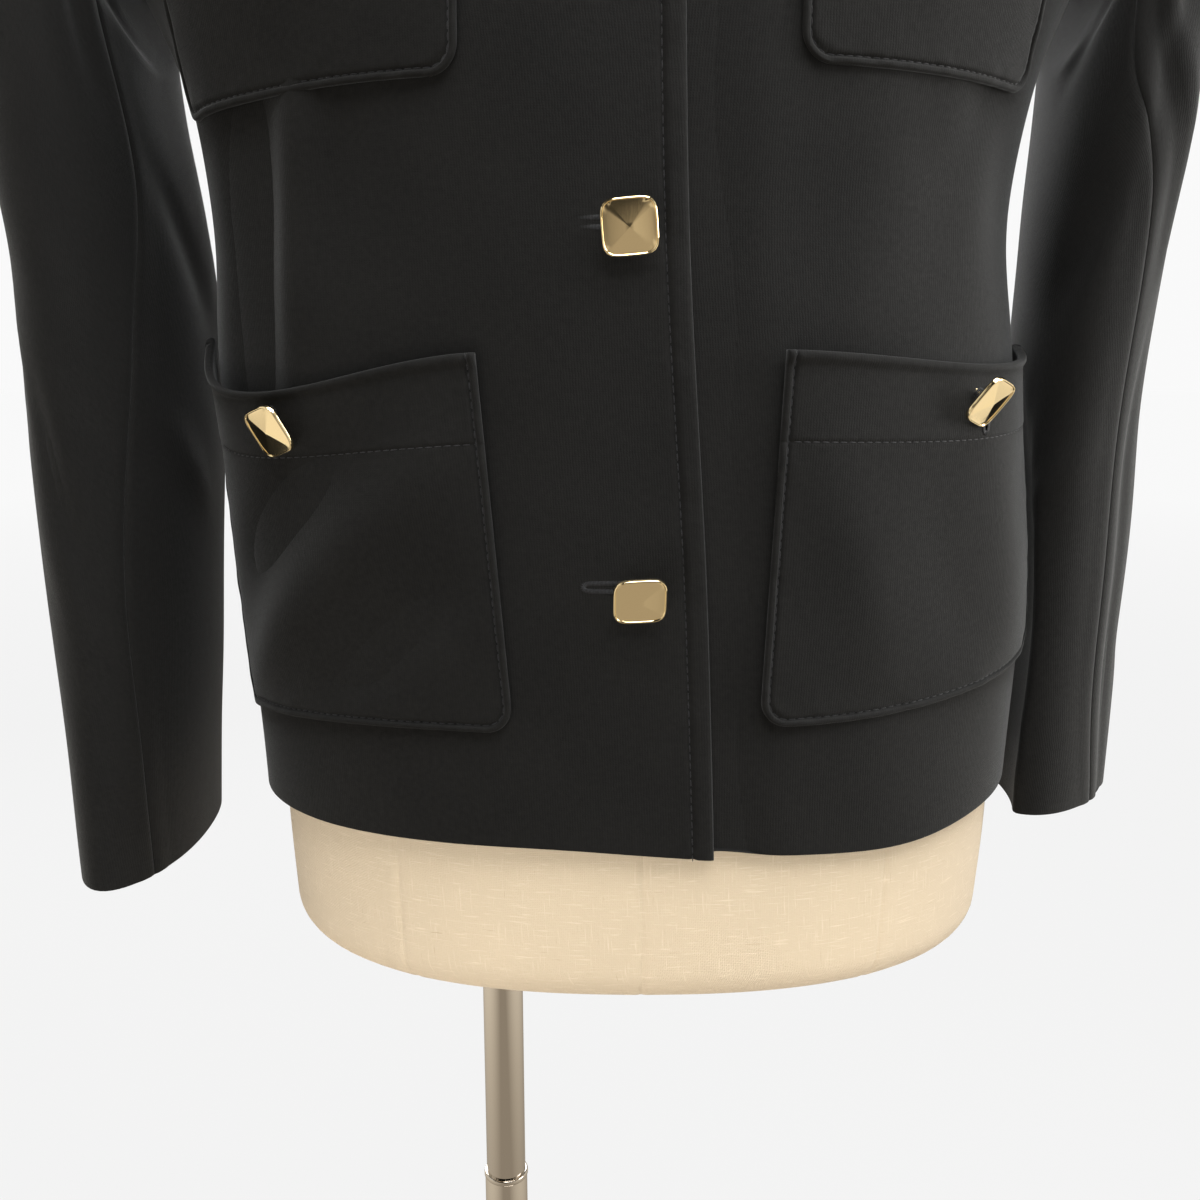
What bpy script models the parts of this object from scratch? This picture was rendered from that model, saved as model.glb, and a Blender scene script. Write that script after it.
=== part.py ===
# Black double-knit jersey jacket on a limbless dress form with a round stand.
# Metres, +Z up. The jacket faces -Y, so the wearer's right is at -X.
# The origin is the middle of the base's underside.
# Inside the functions a height is measured up from the jacket's hem.
import math
from functools import lru_cache

import bpy
import numpy as np

for item in list(bpy.data.objects):
    bpy.data.objects.remove(item, do_unlink=True)

RIGHT, LEFT = -1, 1           # wearer's sides, as signs of X

# Cloth
WALL = 0.002                  # thick double-knit jersey
SEAM_GAP = 0.0003             # between pieces that are sewn together
HEM_LEVEL = 0.865             # floor to the hem
UNDERARM = 0.350              # height of the side seams' upper ends
FRONT_COLUMNS, BACK_COLUMNS = 14, 23
LOWER_ROWS, UPPER_ROWS = 13, 11
SEAM_STRIP = 0.0025           # narrow strip of facets along a sewn edge

# Jacket body by height: half widths on the wearer's right and left, depths to the front and back
BODY_COLUMNS = ("height", "right", "left", "front", "back", "squareness")
BODY = np.array((
    (0.000, 0.174, 0.172, 0.118, 0.112, 2.35),
    (0.082, 0.178, 0.175, 0.119, 0.112, 2.30),
    (0.150, 0.183, 0.169, 0.120, 0.110, 2.25),
    (0.195, 0.186, 0.163, 0.121, 0.108, 2.20),
    (0.246, 0.186, 0.156, 0.122, 0.108, 2.15),
    (0.293, 0.192, 0.163, 0.124, 0.110, 2.15),
    (0.350, 0.213, 0.184, 0.126, 0.112, 2.15),
))

# Front edge of the upper lap by height, and how far inside it the buttons' line runs
EDGE_COLUMNS = ("height", "x", "inset")
EDGE = np.array((
    (0.000, 0.0280, 0.0265),
    (0.100, 0.0235, 0.0261),
    (0.240, 0.0143, 0.0213),
    (0.350, 0.0112, 0.0205),
    (0.530, 0.0080, 0.0205),
))
LAP = 0.048                   # width of the closing's overlap
LAP_SINK = 0.0028             # the under lap lies this far below the upper lap's face
LAP_BLEND = 0.030             # and comes up to the body's surface over this width
CENTRE_REACH = 0.046          # both fronts share one surface this far from the centre
CENTRE_BLEND = 0.040

# Hem: how far it is lifted, by the way round from the centre front (0) past the side seam (1) to the back (2)
HEM_COLUMNS = ("way", "right", "left")
HEM = np.array((
    (0.00, -0.0025, 0.0000),
    (0.25, 0.0020, -0.0015),
    (0.50, 0.0015, -0.0030),
    (0.75, 0.0005, 0.0040),
    (1.00, 0.0005, 0.0100),
    (1.50, 0.0000, 0.0030),
    (2.00, 0.0000, 0.0000),
))

# Shoulders and neck
LEAN = -0.010                 # the shoulders sit this far towards the wearer's right
SHOULDER_POINT = (0.190, 0.0, 0.540)
NECK_POINT = (0.078, 0.0, 0.588)
FORWARD = {"front": -1, "back": 1}
NECK_CENTRE = {"front": (-0.078, 0.523), "back": (0.060, 0.573)}   # Y and height at the centre
NECKLINE_POWER = 1.6          # roundness of the neckline
NECK_SHARE = 0.36             # part of a panel's width that ends in the neckline
CHEST_FULLNESS = 0.006
INNER_EDGE_BOW = 0.028
ARMHOLE_DEPTH = {"front": 0.062, "back": 0.058}
ARMHOLE_SCOOP = {"front": 0.026, "back": 0.020}
ARMHOLE_OPENING = 0.8         # how steeply the armhole leaves the side seam

# Sleeves, ring by ring from the armhole to the cuff, X measured outwards
SLEEVE_COLUMNS = ("outer_height", "inner_height", "outer_x", "inner_x", "front_y", "back_y", "turn")
SLEEVES = {
    RIGHT: np.array((
        (0.540, 0.350, 0.200, 0.213, -0.062, 0.058, 0.0),
        (0.534, 0.343, 0.223, 0.212, -0.067, 0.062, 0.0),
        (0.515, 0.330, 0.243, 0.211, -0.071, 0.064, 0.0),
        (0.484, 0.310, 0.258, 0.208, -0.073, 0.064, 0.0),
        (0.442, 0.283, 0.268, 0.204, -0.074, 0.062, 0.0),
        (0.390, 0.250, 0.272, 0.200, -0.075, 0.060, 0.0),
        (0.325, 0.208, 0.272, 0.196, -0.076, 0.057, 0.0),
        (0.250, 0.160, 0.268, 0.194, -0.078, 0.053, 0.0),
        (0.170, 0.108, 0.263, 0.195, -0.081, 0.049, 0.0),
        (0.095, 0.058, 0.258, 0.197, -0.084, 0.045, 0.0),
        (0.030, 0.012, 0.254, 0.201, -0.086, 0.042, 0.0),
        (-0.030, -0.030, 0.251, 0.204, -0.087, 0.040, 0.0),
    )),
    LEFT: np.array((
        (0.540, 0.350, 0.180, 0.184, -0.062, 0.058, 0.0),
        (0.534, 0.343, 0.201, 0.184, -0.067, 0.062, 0.0),
        (0.515, 0.330, 0.219, 0.183, -0.070, 0.064, 0.02),
        (0.484, 0.310, 0.231, 0.180, -0.071, 0.065, 0.04),
        (0.442, 0.283, 0.238, 0.177, -0.070, 0.065, 0.08),
        (0.390, 0.250, 0.243, 0.174, -0.068, 0.065, 0.13),
        (0.325, 0.208, 0.241, 0.172, -0.065, 0.064, 0.20),
        (0.250, 0.160, 0.235, 0.171, -0.062, 0.062, 0.30),
        (0.170, 0.112, 0.230, 0.172, -0.058, 0.059, 0.42),
        (0.095, 0.068, 0.229, 0.173, -0.055, 0.056, 0.50),
        (0.035, 0.026, 0.228, 0.174, -0.052, 0.053, 0.56),
        (-0.013, -0.013, 0.227, 0.175, -0.050, 0.051, 0.58),
    )),
}
SLEEVE_RINGS = 18
RING_COLUMNS = 2 * (UPPER_ROWS - 1)       # facets round a sleeve, one to each row of the armhole
FRONT_SEAM, BACK_SEAM = 6, -5              # the seams, in facets from the top of the sleeve

# How far the sleeve's seams are turned round it, by the share of the way down
TWIST_COLUMNS = ("share", "right", "left")
TWIST = np.array((
    (0.00, 0.0, 0.0),
    (0.30, 30.0, 12.0),
    (0.45, 38.0, 0.0),
    (0.60, 24.0, -42.0),
    (0.78, 11.0, -69.0),
    (0.90, 19.0, -77.0),
    (1.00, 25.0, -90.0),
))
SLEEVE_RADIUS = 0.045
SLEEVE_SEAM_GAP = 0.0008      # along and round a sleeve's seams
SLEEVE_CLEARANCE = 0.006      # between a sleeve and the body it hangs beside
CLEARANCE_START = 0.08        # share of the way down where that clearance is reached
UNDERARM_BLEND = 0.060        # height over which the sleeve leaves the armhole's width
ARMHOLE_BLEND = 0.30          # share of the sleeve that takes the armhole's form
ARMHOLE_STEPS = 41

# Soft folds of the fronts and back: place round the body and heights, width and rise
BODY_FOLD_COLUMNS = ("side", "along", "low", "high", "width", "rise")
BODY_FOLDS = (
    (RIGHT, 0.178, 0.190, 0.330, 0.022, 0.0035),
    (RIGHT, 0.228, 0.200, 0.345, 0.018, -0.0025),
    (LEFT, 0.180, 0.215, 0.340, 0.020, 0.0030),
    (RIGHT, 0.330, 0.060, 0.300, 0.024, 0.0045),
    (LEFT, 0.360, 0.040, 0.260, 0.022, 0.0040),
)

# Folds along the sleeves: angle from the outer side, start and end down the sleeve, width and rise
SLEEVE_FOLD_COLUMNS = ("side", "angle", "drift", "start", "end", "width", "rise")
SLEEVE_FOLDS = (
    (RIGHT, 60, -10, 0.20, 0.52, 14, 0.0040),
    (RIGHT, 34, 50, 0.52, 0.78, 13, -0.0035),
    (LEFT, 45, 10, 0.18, 0.55, 15, 0.0045),
    (LEFT, 75, 10, 0.18, 0.60, 13, -0.0030),
    (RIGHT, 215, 30, 0.35, 0.75, 16, 0.0040),
    (LEFT, 250, -25, 0.40, 0.75, 16, 0.0035),
)

# Patch pockets, measured round the front from its centre line and up from the hem
POCKET_COLUMNS = ("side", "inner_top", "inner_bottom", "width", "bottom", "outer_rise", "mouth",
                  "sag", "gape", "gape_place")
POCKETS = {
    "pocket_lower_right": (RIGHT, 0.062, 0.050, 0.151, 0.050, -0.009, 0.194, 0.015, 0.005, 0.72),
    "pocket_lower_left": (LEFT, 0.050, 0.044, 0.151, 0.053, 0.014, 0.195, 0.006, 0.002, 0.72),
    "pocket_chest_right": (RIGHT, 0.064, 0.066, 0.132, 0.287, -0.005, 0.394, 0.004, 0.002, 0.55),
    "pocket_chest_left": (LEFT, 0.050, 0.052, 0.112, 0.291, 0.000, 0.396, 0.004, 0.002, 0.55),
}
POCKET_CORNER = 0.011
POCKET_COLUMN_COUNT, POCKET_CORNER_ROWS, POCKET_SIDE_ROWS = 13, 4, 8
POCKET_GAP = 0.0007
POCKET_FULLNESS = 0.0015
SAG_POWER = 1.5               # puts the mouth's lowest point nearer the side seam
GAPE_WIDTH = 0.22

# Shank buttons
BUTTON_SIZE = 0.0200
BUTTON_SIDES = 24
BUTTON_SQUARENESS = 4.6
SHANK_RADIUS = 0.0028
BUTTON_RING_COLUMNS = ("height", "size", "square")
BUTTON_RINGS = (
    (0.0000, SHANK_RADIUS, False),
    (0.0048, SHANK_RADIUS, False),
    (0.0050, 0.46 * BUTTON_SIZE, True),
    (0.0056, 0.50 * BUTTON_SIZE, True),
    (0.0068, 0.50 * BUTTON_SIZE, True),
    (0.0074, 0.46 * BUTTON_SIZE, True),
    (0.0094, 0.0004, True),
)
# How far up each front button sits, how it is turned, and how far it stands off the cloth
BUTTON_COLUMNS = ("height", "tilt", "sideways", "spin", "stand")
FRONT_BUTTONS = (
    (0.1075, 0.46, 0.10, 0.04, 0.0010),
    (0.2380, 0.22, 0.04, 0.09, 0.0000),
    (0.3685, 0.15, 0.00, 0.00, 0.0000),
    (0.4990, 0.10, 0.00, 0.00, 0.0000),
)
# Place on the lower pocket, across from the wearer's right and up, and how the button is turned
POCKET_BUTTON_COLUMNS = ("across", "up", "tilt", "sideways", "spin", "stand")
POCKET_BUTTONS = {
    "right": (0.46, 0.91, 0.40, -0.05, 0.30, 0.0030),
    "left": (0.54, 0.935, 0.65, 0.05, -0.30, 0.0045),
}

# Dress form by height: half width, depths to the front and back, middle in X
FORM_COLUMNS = ("height", "width", "front", "back", "middle", "squareness")
FORM = np.array((
    (-0.070, 0.162, 0.112, 0.104, 0.000, 2.35),
    (0.000, 0.1655, 0.112, 0.104, 0.000, 2.35),
    (0.090, 0.160, 0.107, 0.102, -0.003, 2.3),
    (0.190, 0.130, 0.092, 0.088, -0.009, 2.2),
    (0.300, 0.145, 0.106, 0.095, -0.012, 2.2),
    (0.390, 0.160, 0.108, 0.098, -0.012, 2.2),
    (0.460, 0.168, 0.084, 0.084, -0.010, 2.2),
    (0.510, 0.170, 0.064, 0.058, -0.010, 2.1),
    (0.535, 0.168, 0.045, 0.041, -0.010, 1.9),
    (0.5475, 0.1600, 0.039, 0.036, -0.010, 1.6),
    (0.5600, 0.1310, 0.044, 0.036, -0.010, 1.1),
    (0.5675, 0.1125, 0.047, 0.036, -0.010, 1.05),
    (0.5750, 0.0930, 0.048, 0.034, -0.010, 1.15),
    (0.5880, 0.0690, 0.046, 0.042, -0.010, 1.7),
    (0.6050, 0.0600, 0.043, 0.049, -0.010, 2.1),
    (0.6300, 0.0570, 0.045, 0.050, -0.010, 2.1),
))
FORM_SIDES = 32
RIM_RADIUS = 0.016            # rounding of the form's lower rim
RIM_STEPS = 4
NECK_ROUNDING = 0.006

# Stand
POLE_X = -0.0665              # the pole is off the form's centre line
UPPER_POLE_RADIUS = 0.0101
LOWER_POLE_RADIUS = 0.0110
COLLAR_RADIUS = 0.0114
COLLAR_HEIGHT = 0.003
COLLAR_DROP = 0.161           # below the form's rim
SOCKET_DEPTH = 0.060
BASE_RADIUS = 0.180
BASE_THICKNESS = 0.010
BASE_EDGE = 0.003
ROUND_SIDES = 32
BASE_SIDES = 64

SECTION_STEPS = 181           # points that a half section is measured with
NORMAL_STEP = 0.002
SHARP_ANGLE = math.radians(40)


# A table's other columns at a height or share, on a smooth curve through its rows
def read_table(table, at):
    keys, values = table[:, 0], table[:, 1:]
    slopes = np.gradient(values, keys, axis=0)
    at = min(max(at, keys[0]), keys[-1])
    row = min(max(int(np.searchsorted(keys, at)) - 1, 0), len(keys) - 2)
    span = keys[row + 1] - keys[row]
    t = (at - keys[row]) / span
    return (values[row] * (1 + 2 * t) * (1 - t) ** 2 + slopes[row] * span * t * (1 - t) ** 2
            + values[row + 1] * t * t * (3 - 2 * t) - slopes[row + 1] * span * t * t * (1 - t))


def smooth_step(t):
    t = np.clip(t, 0.0, 1.0)
    return t * t * (3 - 2 * t)


def bell(distance, width):
    return np.exp(-(distance / width) ** 2)


# Shares from 0 to 1 across a piece of this width, with a narrow strip along its sewn edges
def edged_shares(count, width, sewn_start, sewn_end):
    strip = SEAM_STRIP / width
    inner = np.linspace(0, 1, count - sewn_start - sewn_end)
    return np.sort(np.concatenate((inner, [strip] * sewn_start, [1 - strip] * sewn_end)))


# A grid of points moved along its own normals: rows run upwards, columns counter-clockwise from above
def moved_out(grid, distance):
    normals = np.cross(np.gradient(grid, axis=1), np.gradient(grid, axis=0))
    normals /= np.linalg.norm(normals, axis=2, keepdims=True)
    return grid + normals * np.asarray(distance)[..., None]


# One side of the body's section at a height, from the centre front round to the centre back
@lru_cache(maxsize=None)
def half_section(side, height):
    right, left, front, back, squareness = read_table(BODY, height)
    width = right if side == RIGHT else left
    angle = np.linspace(0, math.pi, SECTION_STEPS)
    depth = np.where(angle < math.pi / 2, front, back)
    x = side * width * np.abs(np.sin(angle)) ** (2 / squareness)
    y = -depth * np.sign(np.cos(angle)) * np.abs(np.cos(angle)) ** (2 / squareness)
    along = np.concatenate(([0], np.cumsum(np.hypot(np.diff(x), np.diff(y)))))
    return x, y, along


def side_seam(side, height):
    return half_section(side, height)[2][SECTION_STEPS // 2]


def centre_back(side, height):
    return half_section(side, height)[2][-1]


# The way round from the centre front to a given X on the front
def along_at_x(x, height):
    side = LEFT if x >= 0 else RIGHT
    section_x, _, along = half_section(side, height)
    front_half = slice(0, SECTION_STEPS // 2 + 1)
    return side * np.interp(abs(x), np.abs(section_x[front_half]), along[front_half])


def fold_rise(side, along, height):
    rise = 0.0
    for fold_side, place, low, high, width, amount in BODY_FOLDS:
        if fold_side == side:
            rise += amount * bell(along - place, width) * bell(height - (low + high) / 2, (high - low) / 2)
    return rise


# A point of the jacket's face below the underarm, by its way round from the centre front
def body_point(along, height):
    side = LEFT if along >= 0 else RIGHT
    section_x, section_y, lengths = half_section(side, height)

    def at(reach):
        return np.array((np.interp(reach, lengths, section_x), np.interp(reach, lengths, section_y)))

    reach = abs(along)
    way = at(reach + NORMAL_STEP) - at(max(reach - NORMAL_STEP, 0.0))
    outward = np.array((way[1], -way[0])) * side / np.linalg.norm(way)
    return np.array((*(at(reach) + outward * fold_rise(side, reach, height)), height))


# The armhole's edge, from the underarm (0) over the front or back to the shoulder point (1)
def armhole(side, face, share):
    shoulder_x, shoulder_y, shoulder_height = SHOULDER_POINT
    underarm_x = side * read_table(BODY, UNDERARM)[0 if side == RIGHT else 1]
    swing = math.sin(math.pi * share)
    climb = ARMHOLE_OPENING * (share - 2 * share ** 2 + share ** 3) + smooth_step(share)
    x = underarm_x + (LEAN + side * shoulder_x - underarm_x) * share - side * ARMHOLE_SCOOP[face] * swing
    y = shoulder_y * share + FORWARD[face] * ARMHOLE_DEPTH[face] * swing
    return np.array((x, y, UNDERARM + (shoulder_height - UNDERARM) * climb))


# The neckline by its angle from the centre of the front or back, positive to the wearer's left
def neckline(face, angle):
    centre_y, centre_height = NECK_CENTRE[face]
    neck_x, neck_y, neck_height = NECK_POINT
    rise = abs(math.sin(angle)) ** NECKLINE_POWER
    return np.array((LEAN + neck_x * math.sin(angle),
                     neck_y + (centre_y - neck_y) * math.cos(angle),
                     centre_height + (neck_height - centre_height) * rise))


# The upper edge of a panel, from its neckline's start (0) to the shoulder point (1)
def upper_edge(side, face, start_angle, share):
    if share < NECK_SHARE:
        point = neckline(face, start_angle + (side * math.pi / 2 - start_angle) * share / NECK_SHARE)
    else:
        t = (share - NECK_SHARE) / (1 - NECK_SHARE)
        neck, shoulder = np.array(NECK_POINT), np.array(SHOULDER_POINT)
        point = (neck + (shoulder - neck) * t) * (side, 1, 1) + (LEAN, 0, 0)
    return point + (0, FORWARD[face] * SEAM_GAP / 2, 0)


# The upper half of a panel, between four curves: chest line, inner edge, armhole and upper edge
def upper_point(side, face, chest, top, u, v):
    low_in, low_out, high_in, high_out = chest(0), chest(1), top(0), top(1)
    bow = FORWARD[face] * INNER_EDGE_BOW * v * (1 - v)
    inner = low_in + (high_in - low_in) * v + np.array((0, bow, 0))
    outer = armhole(side, face, v)
    s = smooth_step(v)
    corners = (1 - s) * ((1 - u) * low_in + u * low_out) + s * ((1 - u) * high_in + u * high_out)
    fullness = FORWARD[face] * CHEST_FULLNESS * math.sin(math.pi * u) * math.sin(math.pi * v)
    return ((1 - s) * chest(u) + s * top(u) + (1 - u) * inner + u * outer - corners
            + np.array((0, fullness, 0)))


def edge_x(side, height):
    return read_table(EDGE, height)[0] - (LAP if side == LEFT else 0)


def front_ends(side, height):
    start = along_at_x(edge_x(side, height), height)
    return start, side * (side_seam(side, height) - SEAM_GAP / 2)


# The surface that both fronts share near the centre, above the underarm
def centre_y(x, height):
    side = LEFT if x >= 0 else RIGHT
    section_x, section_y, _ = half_section(side, UNDERARM)
    front_half = slice(0, SECTION_STEPS // 2 + 1)
    chest_y = np.interp(abs(x), np.abs(section_x[front_half]), section_y[front_half])
    neck_y, neck_height = NECK_CENTRE["front"]
    t = (height - UNDERARM) / (neck_height - UNDERARM)
    return chest_y + (neck_y - section_y[0]) * t - INNER_EDGE_BOW * t * (1 - t)


def upper_front_point(side, u, v):
    start, end = front_ends(side, UNDERARM)
    start_angle = math.asin((edge_x(side, NECK_CENTRE["front"][1]) - LEAN) / NECK_POINT[0])
    x, y, height = upper_point(
        side, "front", lambda share: body_point(start + (end - start) * share, UNDERARM),
        lambda share: upper_edge(side, "front", start_angle, share), u, v)
    shared = 1 - smooth_step((abs(x) - CENTRE_REACH) / CENTRE_BLEND)
    return np.array((x, y + (centre_y(x, height) - y) * shared, height))


# A point of a front's face at any height, by its way round from the centre front
def front_point(side, along, height):
    if height <= UNDERARM:
        return body_point(along, height)
    start, end = front_ends(side, UNDERARM)
    v = (height - UNDERARM) / (NECK_CENTRE["front"][1] - UNDERARM)
    return upper_front_point(side, (along - start) / (end - start), v)


def hem_height(side, way):
    return read_table(HEM, way)[0 if side == RIGHT else 1]


def upper_shares():
    shoulder_height = SHOULDER_POINT[2]
    return edged_shares(UPPER_ROWS + 1, shoulder_height - UNDERARM, 0, 1)


# The front of a side: its rows run upwards and its columns counter-clockwise from above
def front_grid(side):
    shares = edged_shares(FRONT_COLUMNS, side_seam(side, UNDERARM), 0, 1)

    def lower_point(u, level):
        hem = hem_height(side, u)
        height = hem + (UNDERARM - hem) * level
        start, end = front_ends(side, height)
        return body_point(start + (end - start) * u, height)

    grid = np.array([[lower_point(u, level) for u in shares] for level in np.linspace(0, 1, LOWER_ROWS)]
                    + [[upper_front_point(side, u, v) for u in shares] for v in upper_shares()[1:]])
    if side == RIGHT:
        return grid[:, ::-1]
    under = [[x - edge_x(RIGHT, height) for x, _, height in row] for row in grid]
    return moved_out(grid, -LAP_SINK * (1 - smooth_step(np.array(under) / LAP_BLEND)))


# The back, from the wearer's left side seam round to the right one
def back_grid():
    def lower_point(side, u, level):
        hem = hem_height(side, 2 - u)
        height = hem + (UNDERARM - hem) * level
        centre = centre_back(side, height)
        seam = side_seam(side, height) + SEAM_GAP / 2
        return body_point(side * (centre + (seam - centre) * u), height)

    def panel_upper_point(side, u, v):
        return upper_point(side, "back", lambda share: lower_point(side, share, 1),
                           lambda share: upper_edge(side, "back", 0, share), u, v)

    width = centre_back(LEFT, UNDERARM) - side_seam(LEFT, UNDERARM)
    columns = [(LEFT if share < 0 else RIGHT, abs(share))
               for share in 2 * edged_shares(BACK_COLUMNS, 2 * width, 1, 1) - 1]
    return np.array([[lower_point(side, u, level) for side, u in columns]
                     for level in np.linspace(0, 1, LOWER_ROWS)]
                    + [[panel_upper_point(side, u, v) for side, u in columns]
                       for v in upper_shares()[1:]])


# A point of a sleeve's face, by its share of the way down and its angle from the outer side to the front
def sleeve_point(side, share, angle):
    def ring(at):
        outer_height, inner_height, outer_x, inner_x, front_y, back_y, turn = read_table(table, at)
        out = (outer_x - inner_x) / 2 * math.cos(angle)
        ahead = (back_y - front_y) / 2 * math.sin(angle)
        x = (outer_x + inner_x) / 2 + out * math.cos(turn) - ahead * math.sin(turn)
        y = (front_y + back_y) / 2 - ahead * math.cos(turn) - out * math.sin(turn)
        tilt = (outer_height - inner_height) / 2 * math.cos(angle)
        return np.array((side * x, y, (outer_height + inner_height) / 2 + tilt))

    rows = SLEEVES[side]
    table = np.column_stack((np.linspace(0, 1, len(rows)), rows))
    face = "front" if angle > 0 else "back"
    joint = armhole(side, face, 1 - abs(angle) / math.pi)
    point = ring(share) + (joint - ring(0)) * (1 - smooth_step(share / ARMHOLE_BLEND))
    clearance = SLEEVE_SEAM_GAP + SLEEVE_CLEARANCE * min(share / CLEARANCE_START, 1)
    return clear_of_body(side, face, point, clearance)


@lru_cache(maxsize=None)
def armhole_curve(side, face):
    return np.array([armhole(side, face, share) for share in np.linspace(0, 1, ARMHOLE_STEPS)])


# A sleeve's point, moved out where it would come nearer to the body or armhole than the clearance
def clear_of_body(side, face, point, clearance):
    x, y, height = point
    right, left, front, back, squareness = read_table(BODY, min(height, UNDERARM))
    width = right if side == RIGHT else left
    across = 1 - abs(y / ((front if y < 0 else back) + clearance)) ** squareness
    beside_body = width * max(across, 0.0) ** (1 / squareness)
    curve = armhole_curve(side, face)
    beside_armhole = np.interp(height, curve[:, 2], side * curve[:, 0])
    near = smooth_step(1 - (UNDERARM - height) / UNDERARM_BLEND)
    nearest = beside_body + (beside_armhole - beside_body) * near + clearance
    return np.array((side * max(side * x, nearest), y, height))


# Part of a sleeve between two of its facets, less half a seam's gap on each edge,
# with one column more past each edge to take the normals at the seams from
def sleeve_grid(side, first, last):
    shares = np.linspace(1, 0, SLEEVE_RINGS)
    edge = SLEEVE_SEAM_GAP / 2 / SLEEVE_RADIUS
    strip = SEAM_STRIP / SLEEVE_RADIUS
    columns = np.arange(first, last + 1) * 2 * math.pi / RING_COLUMNS
    columns = np.concatenate((columns[0] + np.array((-strip, edge, strip)), columns[1:-1],
                              columns[-1] + np.array((-strip, -edge, strip))))
    twist = np.radians([read_table(TWIST, share)[0 if side == RIGHT else 1] for share in shares])
    angles = (columns[None, :] + twist[:, None] + math.pi) % (2 * math.pi) - math.pi
    grid = np.array([[sleeve_point(side, share, angle) for angle in row]
                     for share, row in zip(shares, angles)])
    rise = np.zeros(angles.shape)
    for fold_side, place, drift, low, high, width, amount in SLEEVE_FOLDS:
        if fold_side == side:
            down = (shares - (low + high) / 2)[:, None]
            reach = (high - low) / 2
            off = np.degrees(angles) - place - drift * down / reach / 2
            off = (off + 180) % 360 - 180
            rise += amount * bell(off, width) * bell(down, reach)
    if side == LEFT:
        return moved_out(grid[:, ::-1], rise[:, ::-1])
    return moved_out(grid, rise)


# A patch pocket lies on its front's points, moved out: flat at its edges, full in the middle, gaping at the mouth
def pocket_grid(side, inner_top, inner_bottom, width, bottom, outer_rise, mouth, sag, gape, gape_place):
    turns = np.linspace(0, math.pi / 2, POCKET_CORNER_ROWS)
    corner_rows = [(POCKET_CORNER * (1 - math.cos(turn)), POCKET_CORNER * (1 - math.sin(turn)))
                   for turn in turns]
    side_rows = [(rise, 0.0) for rise in np.linspace(POCKET_CORNER, mouth - bottom, POCKET_SIDE_ROWS)]
    rows = corner_rows + side_rows[1:]
    shares = np.linspace(0, 1, POCKET_COLUMN_COUNT)
    points, lifts = [], []
    for rise, inset in rows:
        v = rise / (mouth - bottom)
        inner = inner_bottom + (inner_top - inner_bottom) * v
        hang = sag * np.sin(math.pi * shares ** SAG_POWER) * v ** 3 - outer_rise * shares ** 2 * (1 - v)
        along = inner + inset + (width - 2 * inset) * shares
        points.append([front_point(side, side * reach, bottom + rise - drop)
                       for reach, drop in zip(along, hang)])
        held = 1 - np.abs(2 * shares - 1) ** 6
        lifts.append(held * (POCKET_FULLNESS * math.sin(math.pi * v / 2)
                             + gape * bell(shares - gape_place, GAPE_WIDTH) * v ** 2.5))
    grid, lift = np.array(points), np.array(lifts) + WALL + POCKET_GAP
    return moved_out(grid[:, ::-1], lift[:, ::-1]) if side == RIGHT else moved_out(grid, lift)


# Materials: colour, roughness and metallic
def material(name, colour, roughness, metallic=0.0):
    made = bpy.data.materials.new(name)
    made.use_nodes = True
    made.diffuse_color = (*colour, 1)
    shader = made.node_tree.nodes["Principled BSDF"]
    shader.inputs["Base Color"].default_value = (*colour, 1)
    shader.inputs["Roughness"].default_value = roughness
    shader.inputs["Metallic"].default_value = metallic
    return made


def add_object(name, points, faces, finish):
    mesh = bpy.data.meshes.new(name)
    mesh.from_pydata([tuple(point) for point in points], [], faces)
    mesh.materials.append(finish)
    made = bpy.data.objects.new(name, mesh)
    bpy.context.collection.objects.link(made)
    mesh.shade_smooth()
    mesh.set_sharp_from_angle(angle=SHARP_ANGLE)
    return made


# A cloth wall: its outer face is a grid, its inner face lies a wall's thickness behind that,
# and a sewn edge's rim doesn't lean over towards the piece that it is sewn to
def add_cloth(name, grid, sewn_edges=(), columns_beyond=0):
    inner = moved_out(grid, -WALL)
    kept = slice(columns_beyond, grid.shape[1] - columns_beyond)
    grid, inner = grid[:, kept], inner[:, kept]
    for edge, neighbour in sewn_edges:
        lean = np.clip((inner[edge] - grid[edge]) @ neighbour, 0, None)
        inner[edge] -= lean[:, None] * np.array(neighbour)
    rows, columns = grid.shape[:2]
    count = rows * columns
    number = np.arange(count).reshape(rows, columns)
    outer_faces = [(number[row, column], number[row, column + 1],
                    number[row + 1, column + 1], number[row + 1, column])
                   for row in range(rows - 1) for column in range(columns - 1)]
    inner_faces = [tuple(point + count for point in reversed(face)) for face in outer_faces]
    border = np.concatenate((number[0], number[1:, -1], number[-1, -2::-1], number[-2:0:-1, 0]))
    rim_faces = [(there, here, here + count, there + count)
                 for here, there in zip(border, np.roll(border, -1))]
    points = np.concatenate((grid.reshape(-1, 3), inner.reshape(-1, 3))) + (0, 0, HEM_LEVEL)
    return add_object(name, points, outer_faces + inner_faces + rim_faces, JERSEY)


# A closed solid through rings of equally many points, from its bottom to its top
def add_stack(name, rings, finish):
    sides = len(rings[0])
    faces = [tuple(reversed(range(sides)))]
    for ring in range(len(rings) - 1):
        for turn in range(sides):
            ahead = (turn + 1) % sides
            faces.append((ring * sides + turn, ring * sides + ahead,
                          (ring + 1) * sides + ahead, (ring + 1) * sides + turn))
    faces.append(tuple(range((len(rings) - 1) * sides, len(rings) * sides)))
    return add_object(name, [point for ring in rings for point in ring], faces, finish)


def circle(radius, height, sides, middle_x=0.0):
    return [(middle_x + radius * math.cos(turn), radius * math.sin(turn), height)
            for turn in np.arange(sides) * 2 * math.pi / sides]


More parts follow.
